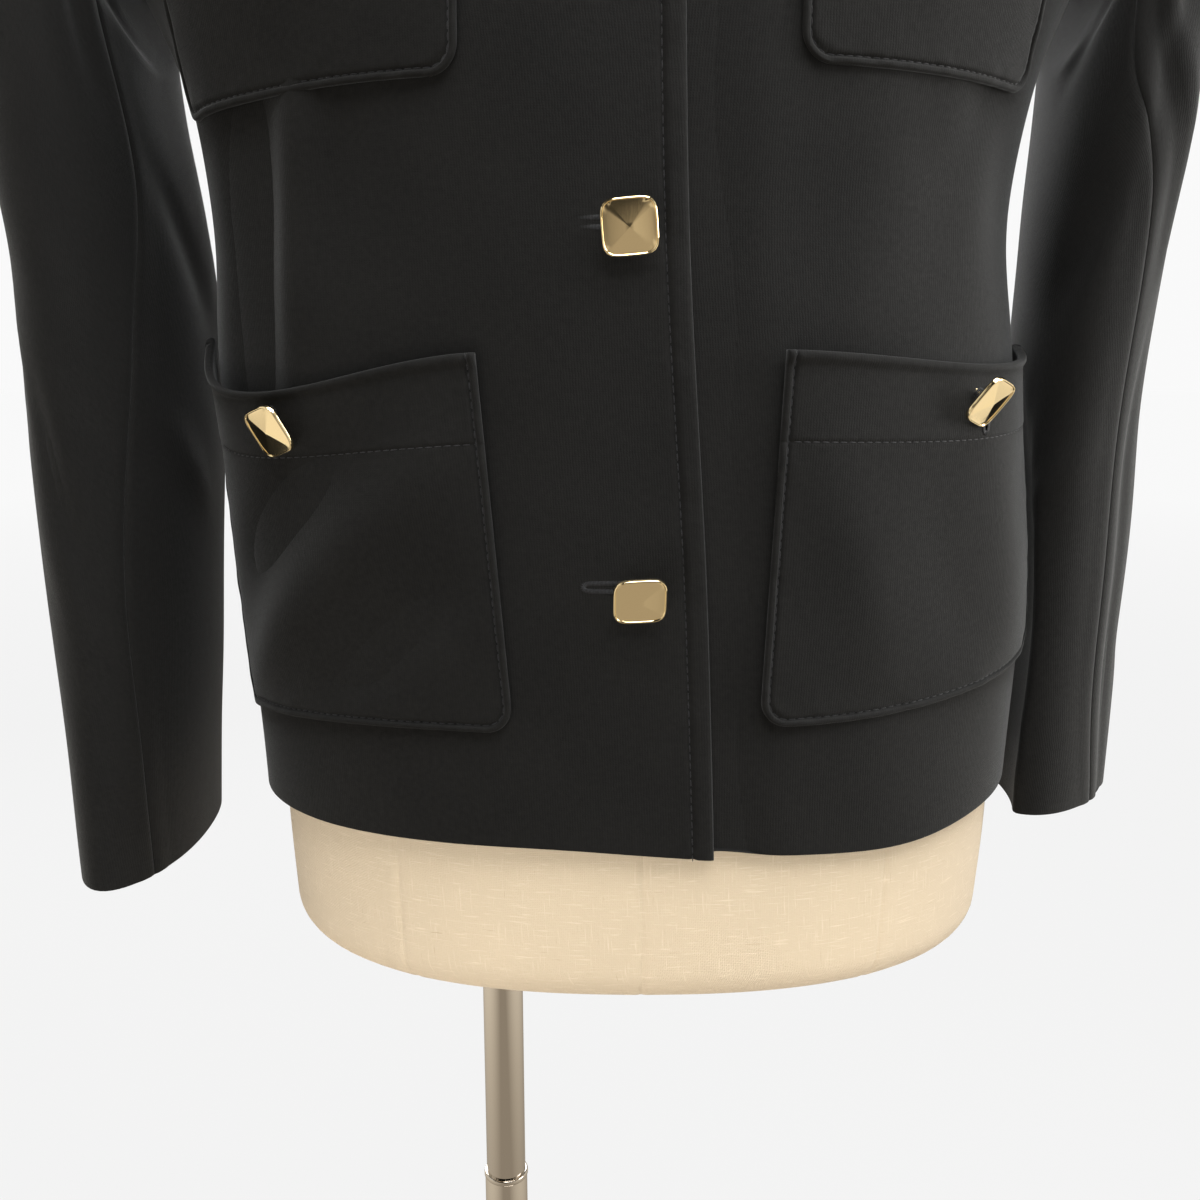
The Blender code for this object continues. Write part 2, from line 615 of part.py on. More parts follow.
# A button on its shank, with a rim and four low facets that meet at the middle
def add_button(name, seat, normal, tilt, sideways, spin, stand):
    across = np.cross((0, 0, 1), normal)
    across /= np.linalg.norm(across)
    upward = np.cross(normal, across)
    axis = normal + math.tan(sideways) * across - math.tan(tilt) * upward
    axis /= np.linalg.norm(axis)
    across = np.cross(upward, axis)
    across /= np.linalg.norm(across)
    upward = np.cross(axis, across)
    turns = np.arange(BUTTON_SIDES) * 2 * math.pi / BUTTON_SIDES
    reach = (np.abs(np.cos(turns)) ** BUTTON_SQUARENESS
             + np.abs(np.sin(turns)) ** BUTTON_SQUARENESS) ** (-1 / BUTTON_SQUARENESS)
    start = seat + normal * (SEAM_GAP + SHANK_RADIUS * np.linalg.norm(np.cross(normal, axis)))
    rings = []
    for height, size, square in BUTTON_RINGS:
        radius = size * (reach if square else 1)
        turned = turns + spin
        out = height + (stand if height > 0 else 0)
        rings.append(start + np.outer(np.full(BUTTON_SIDES, out), axis)
                     + np.outer(radius * np.cos(turned), across) + np.outer(radius * np.sin(turned), upward))
    return add_stack(name, np.array(rings) + (0, 0, HEM_LEVEL), GOLD)


# A grid's point and outward normal at a share across and a share up
def grid_seat(grid, across, up):
    row = min(int(up * (len(grid) - 1)), len(grid) - 2)
    column = min(int(across * (len(grid[0]) - 1)), len(grid[0]) - 2)
    a, b = up * (len(grid) - 1) - row, across * (len(grid[0]) - 1) - column
    point = ((1 - a) * ((1 - b) * grid[row, column] + b * grid[row, column + 1])
             + a * ((1 - b) * grid[row + 1, column] + b * grid[row + 1, column + 1]))
    normal = np.cross(grid[row, column + 1] - grid[row, column], grid[row + 1, column] - grid[row, column])
    return point, normal / np.linalg.norm(normal)


def form_ring(height, inset):
    width, front, back, middle, squareness = read_table(FORM, height)
    turns = np.arange(FORM_SIDES) * 2 * math.pi / FORM_SIDES
    x = (width - inset) * np.sign(np.cos(turns)) * np.abs(np.cos(turns)) ** (2 / squareness)
    depth = np.where(np.sin(turns) < 0, front, back) - inset
    y = depth * np.sign(np.sin(turns)) * np.abs(np.sin(turns)) ** (2 / squareness)
    return np.column_stack((x + middle, y, np.full(FORM_SIDES, height + HEM_LEVEL)))


def build_form():
    rim, neck = FORM[0, 0], FORM[-1, 0]
    turns = np.linspace(0, math.pi / 2, RIM_STEPS)
    rings = [form_ring(rim + RIM_RADIUS * (1 - math.cos(turn)), RIM_RADIUS * (1 - math.sin(turn)))
             for turn in turns]
    levels = [height for low, high in zip(FORM[1:-1, 0], FORM[2:, 0]) for height in (low, (low + high) / 2)]
    rings += [form_ring(height, 0.0) for height in levels]
    rings += [form_ring(neck - NECK_ROUNDING * (1 - math.sin(turn)), NECK_ROUNDING * (1 - math.cos(turn)))
              for turn in turns]
    form = add_stack("form_torso", rings, LINEN)
    rim_level = HEM_LEVEL + rim
    socket = add_stack("socket_cutter", [circle(UPPER_POLE_RADIUS + SEAM_GAP, level, ROUND_SIDES, POLE_X)
                                         for level in (rim_level - SOCKET_DEPTH, rim_level + SOCKET_DEPTH)],
                       LINEN)
    socket.hide_render = True
    socket.display_type = "WIRE"
    cut = form.modifiers.new("Socket", "BOOLEAN")
    cut.operation = "DIFFERENCE"
    cut.solver = "EXACT"
    cut.object = socket


def build_stand():
    rim_level = HEM_LEVEL + FORM[0, 0]
    collar_level = rim_level - COLLAR_DROP
    add_stack("pole_upper", [circle(UPPER_POLE_RADIUS, level, ROUND_SIDES, POLE_X) for level in
                             (collar_level + COLLAR_HEIGHT + SEAM_GAP, rim_level + SOCKET_DEPTH - SEAM_GAP)],
              CHROME)
    add_stack("pole_collar", [circle(COLLAR_RADIUS, level, ROUND_SIDES, POLE_X) for level in
                              (collar_level, collar_level + COLLAR_HEIGHT)], CHROME)
    add_stack("pole_lower", [circle(LOWER_POLE_RADIUS, level, ROUND_SIDES, POLE_X) for level in
                             (BASE_THICKNESS + SEAM_GAP, collar_level - SEAM_GAP)], CHROME)
    add_stack("base", [circle(BASE_RADIUS - BASE_EDGE, 0.0, BASE_SIDES),
                       circle(BASE_RADIUS, BASE_EDGE, BASE_SIDES),
                       circle(BASE_RADIUS, BASE_THICKNESS - BASE_EDGE, BASE_SIDES),
                       circle(BASE_RADIUS - BASE_EDGE, BASE_THICKNESS, BASE_SIDES)], CHROME)


# Which way a piece's neighbours lie from its sewn edges
LOWER_PART, UPPER_PART = slice(0, LOWER_ROWS), slice(LOWER_ROWS - 1, None)
TO_FRONT, TO_BACK = (0, -1, 0), (0, 1, 0)
OUTWARD = {RIGHT: (-1, 0, 0), LEFT: (1, 0, 0)}
INWARD = {RIGHT: (1, 0, 0), LEFT: (-1, 0, 0)}


def build_jacket():
    for side, word, column in ((RIGHT, "right", 0), (LEFT, "left", -1)):
        add_cloth(f"front_{word}", front_grid(side),
                  (((LOWER_PART, column), TO_BACK), ((UPPER_PART, column), OUTWARD[side]),
                   ((-1, slice(None)), TO_BACK)))
    add_cloth("back", back_grid(),
              (((LOWER_PART, 0), TO_FRONT), ((LOWER_PART, -1), TO_FRONT),
               ((UPPER_PART, 0), OUTWARD[LEFT]), ((UPPER_PART, -1), OUTWARD[RIGHT]),
               ((-1, slice(None)), TO_FRONT)))
    for side, word in ((RIGHT, "right"), (LEFT, "left")):
        to_body = (((-1, slice(None)), INWARD[side]),)
        add_cloth(f"sleeve_{word}_upper", sleeve_grid(side, BACK_SEAM, FRONT_SEAM), to_body, 1)
        under = sleeve_grid(side, FRONT_SEAM, RING_COLUMNS + BACK_SEAM)
        add_cloth(f"sleeve_{word}_under", under, to_body, 1)
    pockets = {}
    for name, sizes in POCKETS.items():
        pockets[name] = pocket_grid(*sizes)
        add_cloth(name, pockets[name])
    for number, (height, *turn) in enumerate(FRONT_BUTTONS, start=1):
        x = edge_x(RIGHT, height) - read_table(EDGE, height)[1]
        along = along_at_x(x, min(height, UNDERARM))
        low, high = (front_point(RIGHT, along, height + step) for step in (-NORMAL_STEP, NORMAL_STEP))
        beside = front_point(RIGHT, along + NORMAL_STEP, height)
        seat = front_point(RIGHT, along, height)
        normal = np.cross(beside - seat, high - low)
        add_button(f"button_front_{number}", seat, normal / np.linalg.norm(normal), *turn)
    for word, (across, up, *turn) in POCKET_BUTTONS.items():
        seat, normal = grid_seat(pockets[f"pocket_lower_{word}"], across, up)
        add_button(f"button_pocket_{word}", seat, normal, *turn)


JERSEY = material("black_jersey", (0.012, 0.012, 0.014), 0.85)
LINEN = material("natural_linen", (0.60, 0.50, 0.40), 0.90)
GOLD = material("gold_metal", (0.95, 0.72, 0.40), 0.12, 1.0)
CHROME = material("chrome", (0.75, 0.75, 0.76), 0.10, 1.0)
build_jacket()
build_form()
build_stand()
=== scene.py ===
# A black double-knit jersey jacket on a linen-covered dress form with a chrome stand.
# Metres, +Z up. The jacket faces -Y, so the wearer's right is at -X. A height is measured up from the hem.
import math
from functools import lru_cache

import bpy
import numpy as np
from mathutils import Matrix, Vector


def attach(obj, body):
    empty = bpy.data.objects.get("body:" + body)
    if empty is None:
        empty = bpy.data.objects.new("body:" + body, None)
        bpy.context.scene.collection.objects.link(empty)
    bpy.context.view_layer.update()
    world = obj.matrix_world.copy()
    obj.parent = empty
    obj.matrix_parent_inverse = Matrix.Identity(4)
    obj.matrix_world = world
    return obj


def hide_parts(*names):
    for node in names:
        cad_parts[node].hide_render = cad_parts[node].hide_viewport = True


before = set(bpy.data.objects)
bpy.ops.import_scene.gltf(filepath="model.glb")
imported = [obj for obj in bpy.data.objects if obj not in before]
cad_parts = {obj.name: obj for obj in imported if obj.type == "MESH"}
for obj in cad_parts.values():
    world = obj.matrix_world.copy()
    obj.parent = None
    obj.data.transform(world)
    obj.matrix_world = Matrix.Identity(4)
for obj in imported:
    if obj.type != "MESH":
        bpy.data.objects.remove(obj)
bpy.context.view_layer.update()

wearerRight, wearerLeft = -1, 1  # wearer's sides, as signs of X

# Cloth
clothWall = .002  # thick double-knit jersey
seamGap = -.0004  # pieces that are sewn together lap by this much
hemLevel = .865  # floor to the hem
underarmHeight = .35  # height of the side seams' upper ends

# Jacket body by height: half widths on the wearer's right and left, depths to the front and back
bodyTable = np.array((
    (0.0, .174, .172, .118, .112, 2.35),
    (.082, .178, .175, .119, .112, 2.3),
    (.15, .183, .169, .12, .11, 2.25),
    (.195, .186, .163, .121, .108, 2.2),
    (.246, .186, .156, .122, .108, 2.15),
    (.293, .192, .163, .124, .11, 2.15),
    (.35, .213, .184, .126, .112, 2.15),
))

# Front edge of the upper lap by height, and how far inside it the buttons' line runs
edgeTable = np.array((
    (0.0, .028, .0265),
    (.1, .0235, .0261),
    (.24, .0143, .0213),
    (.35, .0112, .0205),
    (.53, .008, .0205),
))
lapWidth = .048  # width of the closing's overlap
lapSink = .0028  # the under lap lies this far below the upper lap's face
lapBlend = .03  # and comes up to the body's surface over this width
centreReach = .046  # both fronts share one surface this far from the centre
centreBlend = .04

# Hem: its lift, by the way round from the centre front (0) past the side seam (1) to the back (2)
hemTable = np.array((
    (0.0, -.0025, 0.0),
    (.25, .002, -.0015),
    (.5, .0015, -.003),
    (.75, .0005, .004),
    (1.0, .0005, .01),
    (1.5, 0.0, .003),
    (2.0, 0.0, 0.0),
))

# Shoulders and neck
shoulderLean = -.01  # the shoulders sit this far towards the wearer's right
shoulderPoint = (.19, 0.0, .54)
neckPoint = (.078, 0.0, .588)
forward = {"front": -1, "back": 1}
neckCentre = {"front": (-.078, .523), "back": (.06, .573)}  # Y and height at the centre
necklinePower = 1.6  # roundness of the neckline
neckShare = .36  # part of a panel's width that ends in the neckline
chestFullness = .006
innerEdgeBow = .028
armholeDepth = {"front": .062, "back": .058}
armholeScoop = {"front": .026, "back": .02}
armholeOpening = .8  # how steeply the armhole leaves the side seam

# Sleeves, ring by ring from the armhole to the cuff, X measured outwards
sleeveTables = {
    wearerRight: np.array((
        (.54, .35, .2, .213, -.062, .058, 0.0),
        (.534, .343, .223, .212, -.067, .062, 0.0),
        (.515, .33, .243, .211, -.071, .064, 0.0),
        (.484, .31, .258, .208, -.073, .064, 0.0),
        (.442, .283, .268, .204, -.074, .062, 0.0),
        (.39, .25, .272, .2, -.075, .06, 0.0),
        (.325, .208, .272, .196, -.076, .057, 0.0),
        (.25, .16, .268, .194, -.078, .053, 0.0),
        (.17, .108, .263, .195, -.081, .049, 0.0),
        (.095, .058, .258, .197, -.084, .045, 0.0),
        (.03, .012, .254, .201, -.086, .042, 0.0),
        (-.03, -.03, .251, .204, -.087, .04, 0.0),
    )),
    wearerLeft: np.array((
        (.54, .35, .18, .184, -.062, .058, 0.0),
        (.534, .343, .201, .184, -.067, .062, 0.0),
        (.515, .33, .219, .183, -.07, .064, .02),
        (.484, .31, .231, .18, -.071, .065, .04),
        (.442, .283, .238, .177, -.07, .065, .08),
        (.39, .25, .243, .174, -.068, .065, .13),
        (.325, .208, .241, .172, -.065, .064, .2),
        (.25, .16, .235, .171, -.062, .062, .3),
        (.17, .112, .23, .172, -.058, .059, .42),
        (.095, .068, .229, .173, -.055, .056, .5),
        (.035, .026, .228, .174, -.052, .053, .56),
        (-.013, -.013, .227, .175, -.05, .051, .58),
    )),
}
ringColumns = 20  # facets round a sleeve of the solid
frontSeam, backSeam = 6, -5  # the seams, in facets from the top of the sleeve

# How far the sleeve's seams are turned round it, by the share of the way down
twistTable = np.array((
    (0.0, 0.0, 0.0),
    (.3, 30.0, 12.0),
    (.45, 38.0, 0.0),
    (.6, 24.0, -42.0),
    (.78, 11.0, -69.0),
    (.9, 19.0, -77.0),
    (1.0, 25.0, -90.0),
))
sleeveRadius = .045
sleeveSeamGap = -.0004  # along and round a sleeve's seams
armholeLap = .0012  # the sleeve head goes this far under the armhole
sleeveClearance = .006  # between a sleeve and the body it hangs beside
clearanceStart = .08  # share of the way down where that clearance is reached
underarmBlend = .06  # height over which the sleeve leaves the armhole's width
armholeBlend = .3  # share of the sleeve that takes the armhole's form
armholeSteps = 41

# Soft folds of the fronts and back: place round the body and heights, width and rise
bodyFolds = (
    (wearerRight, .178, .19, .33, .022, .0035),
    (wearerRight, .228, .2, .345, .018, -.0025),
    (wearerLeft, .18, .215, .34, .02, .003),
    (wearerRight, .33, .06, .3, .024, .0045),
    (wearerLeft, .36, .04, .26, .022, .004),
)

# Folds along the sleeves: angle from the outer side, start and end down the sleeve, width and rise
sleeveFolds = (
    (wearerRight, 60, -10, .2, .52, 14, .004),
    (wearerRight, 34, 50, .52, .78, 13, -.0035),
    (wearerLeft, 45, 10, .18, .55, 15, .0045),
    (wearerLeft, 75, 10, .18, .6, 13, -.003),
    (wearerRight, 215, 30, .35, .75, 16, .004),
    (wearerLeft, 250, -25, .4, .75, 16, .0035),
)

# Patch pockets, measured round the front from its centre line and up from the hem
pocketSizes = {
    "pocket_lower_right": (wearerRight, .062, .05, .151, .05, -.009, .194, .015, .005, .72),
    "pocket_lower_left": (wearerLeft, .05, .044, .151, .053, .014, .195, .006, .002, .72),
    "pocket_chest_right": (wearerRight, .064, .066, .132, .287, -.005, .394, .004, .002, .55),
    "pocket_chest_left": (wearerLeft, .05, .052, .112, .291, 0.0, .396, .004, .002, .55),
}
pocketCorner = .011
pocketCornerRows, pocketSideRows = 4, 8
pocketGap = .0007
pocketFullness = .0015
sagPower = 1.5  # puts the mouth's lowest point nearer the side seam
gapeWidth = .22

# Shank buttons
buttonSquareness = 4.6
shankRadius = .0028  # of the solid's shank
# How far up each front button sits, how it is turned, and how far it stands off the cloth
frontButtons = (
    (.1075, .46, .1, .04, .001),
    (.238, .22, .04, .09, 0.0),
    (.3685, .15, 0.0, 0.0, 0.0),
    (.499, .1, 0.0, 0.0, 0.0),
)
# Place on the lower pocket, across from the wearer's right and up, and how the button is turned
pocketButtons = {
    "right": (.46, .91, .4, -.05, .3, .003),
    "left": (.54, .935, .65, .05, -.3, .0045),
}

# Dress form by height: half width, depths to the front and back, middle in X
formTable = np.array((
    (-.07, .162, .112, .104, 0.0, 2.35),
    (0.0, .1655, .112, .104, 0.0, 2.35),
    (.09, .16, .107, .102, -.003, 2.3),
    (.19, .13, .092, .088, -.009, 2.2),
    (.3, .145, .106, .095, -.012, 2.2),
    (.39, .16, .108, .098, -.012, 2.2),
    (.46, .168, .084, .084, -.01, 2.2),
    (.51, .17, .064, .058, -.01, 2.1),
    (.535, .168, .045, .041, -.01, 1.9),
    (.5475, .16, .039, .036, -.01, 1.6),
    (.56, .131, .044, .036, -.01, 1.1),
    (.5675, .1125, .047, .036, -.01, 1.05),
    (.575, .093, .048, .034, -.01, 1.15),
    (.588, .069, .046, .042, -.01, 1.7),
    (.605, .06, .043, .049, -.01, 2.1),
    (.63, .057, .045, .05, -.01, 2.1),
))
rimRadius = .016  # rounding of the form's lower rim
neckRounding = .006

# Stand
poleX = -.0665  # the pole is off the form's centre line
upperPoleRadius = .0101
lowerPoleRadius = .011
collarRadius = .0114
collarHeight = .003
collarDrop = .161  # below the form's rim
socketDepth = .06
baseRadius = .18
baseThickness = .01
baseEdge = .003

sectionSteps = 181  # points that a half section is measured with
normalStep = .002


# A table's other columns at a height or share, on a smooth curve through its rows
def readTable(table, at):
    keys, values = table[:, 0], table[:, 1:]
    slopes = np.gradient(values, keys, axis=0)
    at = min(max(at, keys[0]), keys[-1])
    row = min(max(int(np.searchsorted(keys, at)) - 1, 0), len(keys) - 2)
    span = keys[row + 1] - keys[row]
    t = (at - keys[row]) / span
    return (values[row] * (1 + 2 * t) * (1 - t) ** 2 + slopes[row] * span * t * (1 - t) ** 2
            + values[row + 1] * t * t * (3 - 2 * t) - slopes[row + 1] * span * t * t * (1 - t))


def smoothStep(t):
    t = np.clip(t, 0.0, 1.0)
    return t * t * (3 - 2 * t)


def bell(distance, width):
    return np.exp(-(distance / width) ** 2)


# A grid of points moved along its own normals: rows run upwards, columns counter-clockwise from above
def movedOut(grid, distance):
    normals = np.cross(np.gradient(grid, axis=1), np.gradient(grid, axis=0))
    normals /= np.linalg.norm(normals, axis=2, keepdims=True)
    return grid + normals * np.asarray(distance)[..., None]


# One side of the body's section at a height, from the centre front round to the centre back
@lru_cache(maxsize=None)
def halfSection(side, height):
    right, left, front, back, squareness = readTable(bodyTable, height)
    width = right if side == wearerRight else left
    angle = np.linspace(0, math.pi, sectionSteps)
    depth = np.where(angle < math.pi / 2, front, back)
    x = side * width * np.abs(np.sin(angle)) ** (2 / squareness)
    y = -depth * np.sign(np.cos(angle)) * np.abs(np.cos(angle)) ** (2 / squareness)
    along = np.concatenate(([0], np.cumsum(np.hypot(np.diff(x), np.diff(y)))))
    return x, y, along


def sideSeam(side, height):
    return halfSection(side, height)[2][sectionSteps // 2]


def centreBack(side, height):
    return halfSection(side, height)[2][-1]


# The way round from the centre front to a given X on the front
def alongAtX(x, height):
    side = wearerLeft if x >= 0 else wearerRight
    sectionX, _, along = halfSection(side, height)
    frontHalf = slice(0, sectionSteps // 2 + 1)
    return side * np.interp(abs(x), np.abs(sectionX[frontHalf]), along[frontHalf])


def foldRise(side, along, height):
    rise = 0.0
    for foldSide, place, low, high, width, amount in bodyFolds:
        if foldSide == side:
            rise += amount * bell(along - place, width) * bell(height - (low + high) / 2, (high - low) / 2)
    return rise


# A point of the jacket's face below the underarm, by its way round from the centre front
def bodyPoint(along, height):
    side = wearerLeft if along >= 0 else wearerRight
    sectionX, sectionY, lengths = halfSection(side, height)

    def at(reach):
        return np.array((np.interp(reach, lengths, sectionX), np.interp(reach, lengths, sectionY)))

    reach = abs(along)
    way = at(reach + normalStep) - at(max(reach - normalStep, 0.0))
    outward = np.array((way[1], -way[0])) * side / np.linalg.norm(way)
    return np.array((*(at(reach) + outward * foldRise(side, reach, height)), height))


# The armhole's edge, from the underarm (0) over the front or back to the shoulder point (1)
def armhole(side, face, share):
    shoulderX, shoulderY, shoulderHeight = shoulderPoint
    underarmX = side * readTable(bodyTable, underarmHeight)[0 if side == wearerRight else 1]
    swing = math.sin(math.pi * share)
    climb = armholeOpening * (share - 2 * share ** 2 + share ** 3) + smoothStep(share)
    x = underarmX + (shoulderLean + side * shoulderX - underarmX) * share - side * armholeScoop[face] * swing
    y = shoulderY * share + forward[face] * armholeDepth[face] * swing
    return np.array((x, y, underarmHeight + (shoulderHeight - underarmHeight) * climb))


# The neckline by its angle from the centre of the front or back, positive to the wearer's left
def neckline(face, angle):
    centreY, centreHeight = neckCentre[face]
    neckX, neckY, neckHeight = neckPoint
    rise = abs(math.sin(angle)) ** necklinePower
    return np.array((shoulderLean + neckX * math.sin(angle),
                     neckY + (centreY - neckY) * math.cos(angle),
                     centreHeight + (neckHeight - centreHeight) * rise))


# The upper edge of a panel, from its neckline's start (0) to the shoulder point (1)
def upperEdge(side, face, startAngle, share):
    if share < neckShare:
        point = neckline(face, startAngle + (side * math.pi / 2 - startAngle) * share / neckShare)
    else:
        t = (share - neckShare) / (1 - neckShare)
        neck, shoulder = np.array(neckPoint), np.array(shoulderPoint)
        point = (neck + (shoulder - neck) * t) * (side, 1, 1) + (shoulderLean, 0, 0)
    return point + (0, forward[face] * seamGap / 2, 0)


# The upper half of a panel, between four curves: chest line, inner edge, armhole and upper edge
def upperPoint(side, face, chest, top, u, v):
    lowIn, lowOut, highIn, highOut = chest(0), chest(1), top(0), top(1)
    bow = forward[face] * innerEdgeBow * v * (1 - v)
    inner = lowIn + (highIn - lowIn) * v + np.array((0, bow, 0))
    outer = armhole(side, face, v)
    s = smoothStep(v)
    corners = (1 - s) * ((1 - u) * lowIn + u * lowOut) + s * ((1 - u) * highIn + u * highOut)
    fullness = forward[face] * chestFullness * math.sin(math.pi * u) * math.sin(math.pi * v)
    return ((1 - s) * chest(u) + s * top(u) + (1 - u) * inner + u * outer - corners
            + np.array((0, fullness, 0)))


def edgeX(side, height):
    return readTable(edgeTable, height)[0] - (lapWidth if side == wearerLeft else 0)


def frontEnds(side, height):
    start = alongAtX(edgeX(side, height), height)
    return start, side * (sideSeam(side, height) - seamGap / 2)


# The surface that both fronts share near the centre, above the underarm
def centreY(x, height):
    side = wearerLeft if x >= 0 else wearerRight
    sectionX, sectionY, _ = halfSection(side, underarmHeight)
    frontHalf = slice(0, sectionSteps // 2 + 1)
    chestY = np.interp(abs(x), np.abs(sectionX[frontHalf]), sectionY[frontHalf])
    neckY, neckHeight = neckCentre["front"]
    t = (height - underarmHeight) / (neckHeight - underarmHeight)
    return chestY + (neckY - sectionY[0]) * t - innerEdgeBow * t * (1 - t)


def upperFrontPoint(side, u, v):
    start, end = frontEnds(side, underarmHeight)
    startAngle = math.asin((edgeX(side, neckCentre["front"][1]) - shoulderLean) / neckPoint[0])
    x, y, height = upperPoint(
        side, "front", lambda share: bodyPoint(start + (end - start) * share, underarmHeight),
        lambda share: upperEdge(side, "front", startAngle, share), u, v)
    shared = 1 - smoothStep((abs(x) - centreReach) / centreBlend)
    return np.array((x, y + (centreY(x, height) - y) * shared, height))


# A point of a front's face at any height, by its way round from the centre front
def frontPoint(side, along, height):
    if height <= underarmHeight:
        return bodyPoint(along, height)
    start, end = frontEnds(side, underarmHeight)
    v = (height - underarmHeight) / (neckCentre["front"][1] - underarmHeight)
    return upperFrontPoint(side, (along - start) / (end - start), v)


def hemHeight(side, way):
    return readTable(hemTable, way)[0 if side == wearerRight else 1]


# A point of a sleeve's face, by its share of the way down and its angle from the outer side to the front
def sleevePoint(side, share, angle):
    def ring(at):
        outerHeight, innerHeight, outerX, innerX, frontY, backY, turn = readTable(table, at)
        out = (outerX - innerX) / 2 * math.cos(angle)
        ahead = (backY - frontY) / 2 * math.sin(angle)
        x = (outerX + innerX) / 2 + out * math.cos(turn) - ahead * math.sin(turn)
        y = (frontY + backY) / 2 - ahead * math.cos(turn) - out * math.sin(turn)
        tilt = (outerHeight - innerHeight) / 2 * math.cos(angle)
        return np.array((side * x, y, (outerHeight + innerHeight) / 2 + tilt))

    rows = sleeveTables[side]
    table = np.column_stack((np.linspace(0, 1, len(rows)), rows))
    face = "front" if angle > 0 else "back"
    joint = armhole(side, face, 1 - abs(angle) / math.pi)
    point = ring(share) + (joint - ring(0)) * (1 - smoothStep(share / armholeBlend))
    clearance = sleeveSeamGap + sleeveClearance * min(share / clearanceStart, 1)
    return clearOfBody(side, face, point, clearance)


@lru_cache(maxsize=None)
def armholeCurve(side, face):
    return np.array([armhole(side, face, share) for share in np.linspace(0, 1, armholeSteps)])


# A sleeve's point, moved out where it would come nearer to the body or armhole than the clearance
def clearOfBody(side, face, point, clearance):
    x, y, height = point
    right, left, front, back, squareness = readTable(bodyTable, min(height, underarmHeight))
    width = right if side == wearerRight else left
    across = 1 - abs(y / ((front if y < 0 else back) + clearance)) ** squareness
    besideBody = width * max(across, 0.0) ** (1 / squareness)
    curve = armholeCurve(side, face)
    besideArmhole = np.interp(height, curve[:, 2], side * curve[:, 0])
    near = smoothStep(1 - (underarmHeight - height) / underarmBlend)
    nearest = besideBody + (besideArmhole - besideBody) * near + clearance
    return np.array((side * max(side * x, nearest), y, height))


# A smooth surface through a lattice's points, at row and column numbers
def lookUp(lattice, rows, columns):
    padded = np.pad(lattice, ((1, 1), (1, 1), (0, 0)), mode="reflect", reflect_type="odd")
    row = np.clip(np.floor(rows).astype(int), 0, len(lattice) - 2)
    column = np.clip(np.floor(columns).astype(int), 0, len(lattice[0]) - 2)

    def weights(t):
        return (-t + 2 * t ** 2 - t ** 3) / 2, (2 - 5 * t ** 2 + 3 * t ** 3) / 2, (
            t + 4 * t ** 2 - 3 * t ** 3) / 2, (t ** 3 - t ** 2) / 2

    found = 0.0
    for down, rowWeight in enumerate(weights(rows - row)):
        for along, columnWeight in enumerate(weights(columns - column)):
            found = found + (rowWeight * columnWeight)[..., None] * padded[row + down, column + along]
    return found


def surfaceAt(lattice, rows, columns, step=.05):
    acrossWay = lookUp(lattice, rows, columns + step) - lookUp(lattice, rows, columns - step)
    upWay = lookUp(lattice, rows + step, columns) - lookUp(lattice, rows - step, columns)
    normals = np.cross(acrossWay, upWay)
    return lookUp(lattice, rows, columns), normals / np.linalg.norm(normals, axis=-1, keepdims=True)


def lengthsAlong(points, axis):
    steps = np.linalg.norm(np.diff(points, axis=axis), axis=2)
    return np.concatenate((np.zeros_like(np.take(steps, [0], axis)), np.cumsum(steps, axis=axis)),
                          axis=axis)


# Distances with fine steps at both ends, even between
def spread(length, start, end, spacing, nominal=None):
    count = max(int(((nominal or length) - start[-1] - end[-1]) / spacing), 2)
    middle = np.linspace(start[-1], length - end[-1], count + 1)
    return np.concatenate((start[:-1], middle, length - np.array(end[-2::-1])))


def fineGrid(lattice, start, end, low, high, spacing, beyond=0):
    across, up = lengthsAlong(lattice, 1), lengthsAlong(lattice, 0).mean(axis=1)
    last = lattice.shape[1] - 1 - beyond
    across = across - across[:, [beyond]]
    nominal = across[:, last].mean()
    rows = np.interp(spread(up[-1], low, high, spacing), up, np.arange(len(up)))
    columns = []
    for row in rows:
        below = min(int(row), len(lattice) - 2)
        reach = across[below] + (across[below + 1] - across[below]) * (row - below)
        columns.append(np.interp(spread(reach[last], start, end, spacing, nominal), reach,
                                 np.arange(len(reach))))
    columns = np.array(columns)
    points, normals = surfaceAt(lattice, np.repeat(rows[:, None], columns.shape[1], axis=1), columns)
    across, up = lengthsAlong(points, 1), lengthsAlong(points, 0)
    edges = {"start": across, "end": across[:, [-1]] - across, "low": up, "high": up[[-1]] - up}
    return points, normals, edges


# A lattice with its inner points evened out from one row up, its edges kept
def evened(lattice, first, rounds=14):
    for number in range(2 * rounds):
        amount = -.53 if number % 2 else .5
        around = (lattice[first - 1:-2, 1:-1] + lattice[first + 1:, 1:-1] + lattice[first:-1, :-2]
                  + lattice[first:-1, 2:]) / 4
        lattice = lattice.copy()
        lattice[first:-1, 1:-1] += amount * (around - lattice[first:-1, 1:-1])
    return lattice


def frontLattice(side, rows=(28, 16), columns=33):
    def lowerPoint(u, level):
        hem = hemHeight(side, u)
        height = hem + (underarmHeight - hem) * level
        start, end = frontEnds(side, height)
        return bodyPoint(start + (end - start) * u, height)

    shares = np.linspace(0, 1, columns)
    lattice = np.array([[lowerPoint(u, level) for u in shares] for level in np.linspace(0, 1, rows[0])]
                       + [[upperFrontPoint(side, u, v) for u in shares]
                          for v in np.linspace(0, 1, rows[1])[1:]])
    lattice = evened(lattice, rows[0] + rows[1] // 2 - 1)
    return lattice[:, ::-1] if side == wearerRight else lattice


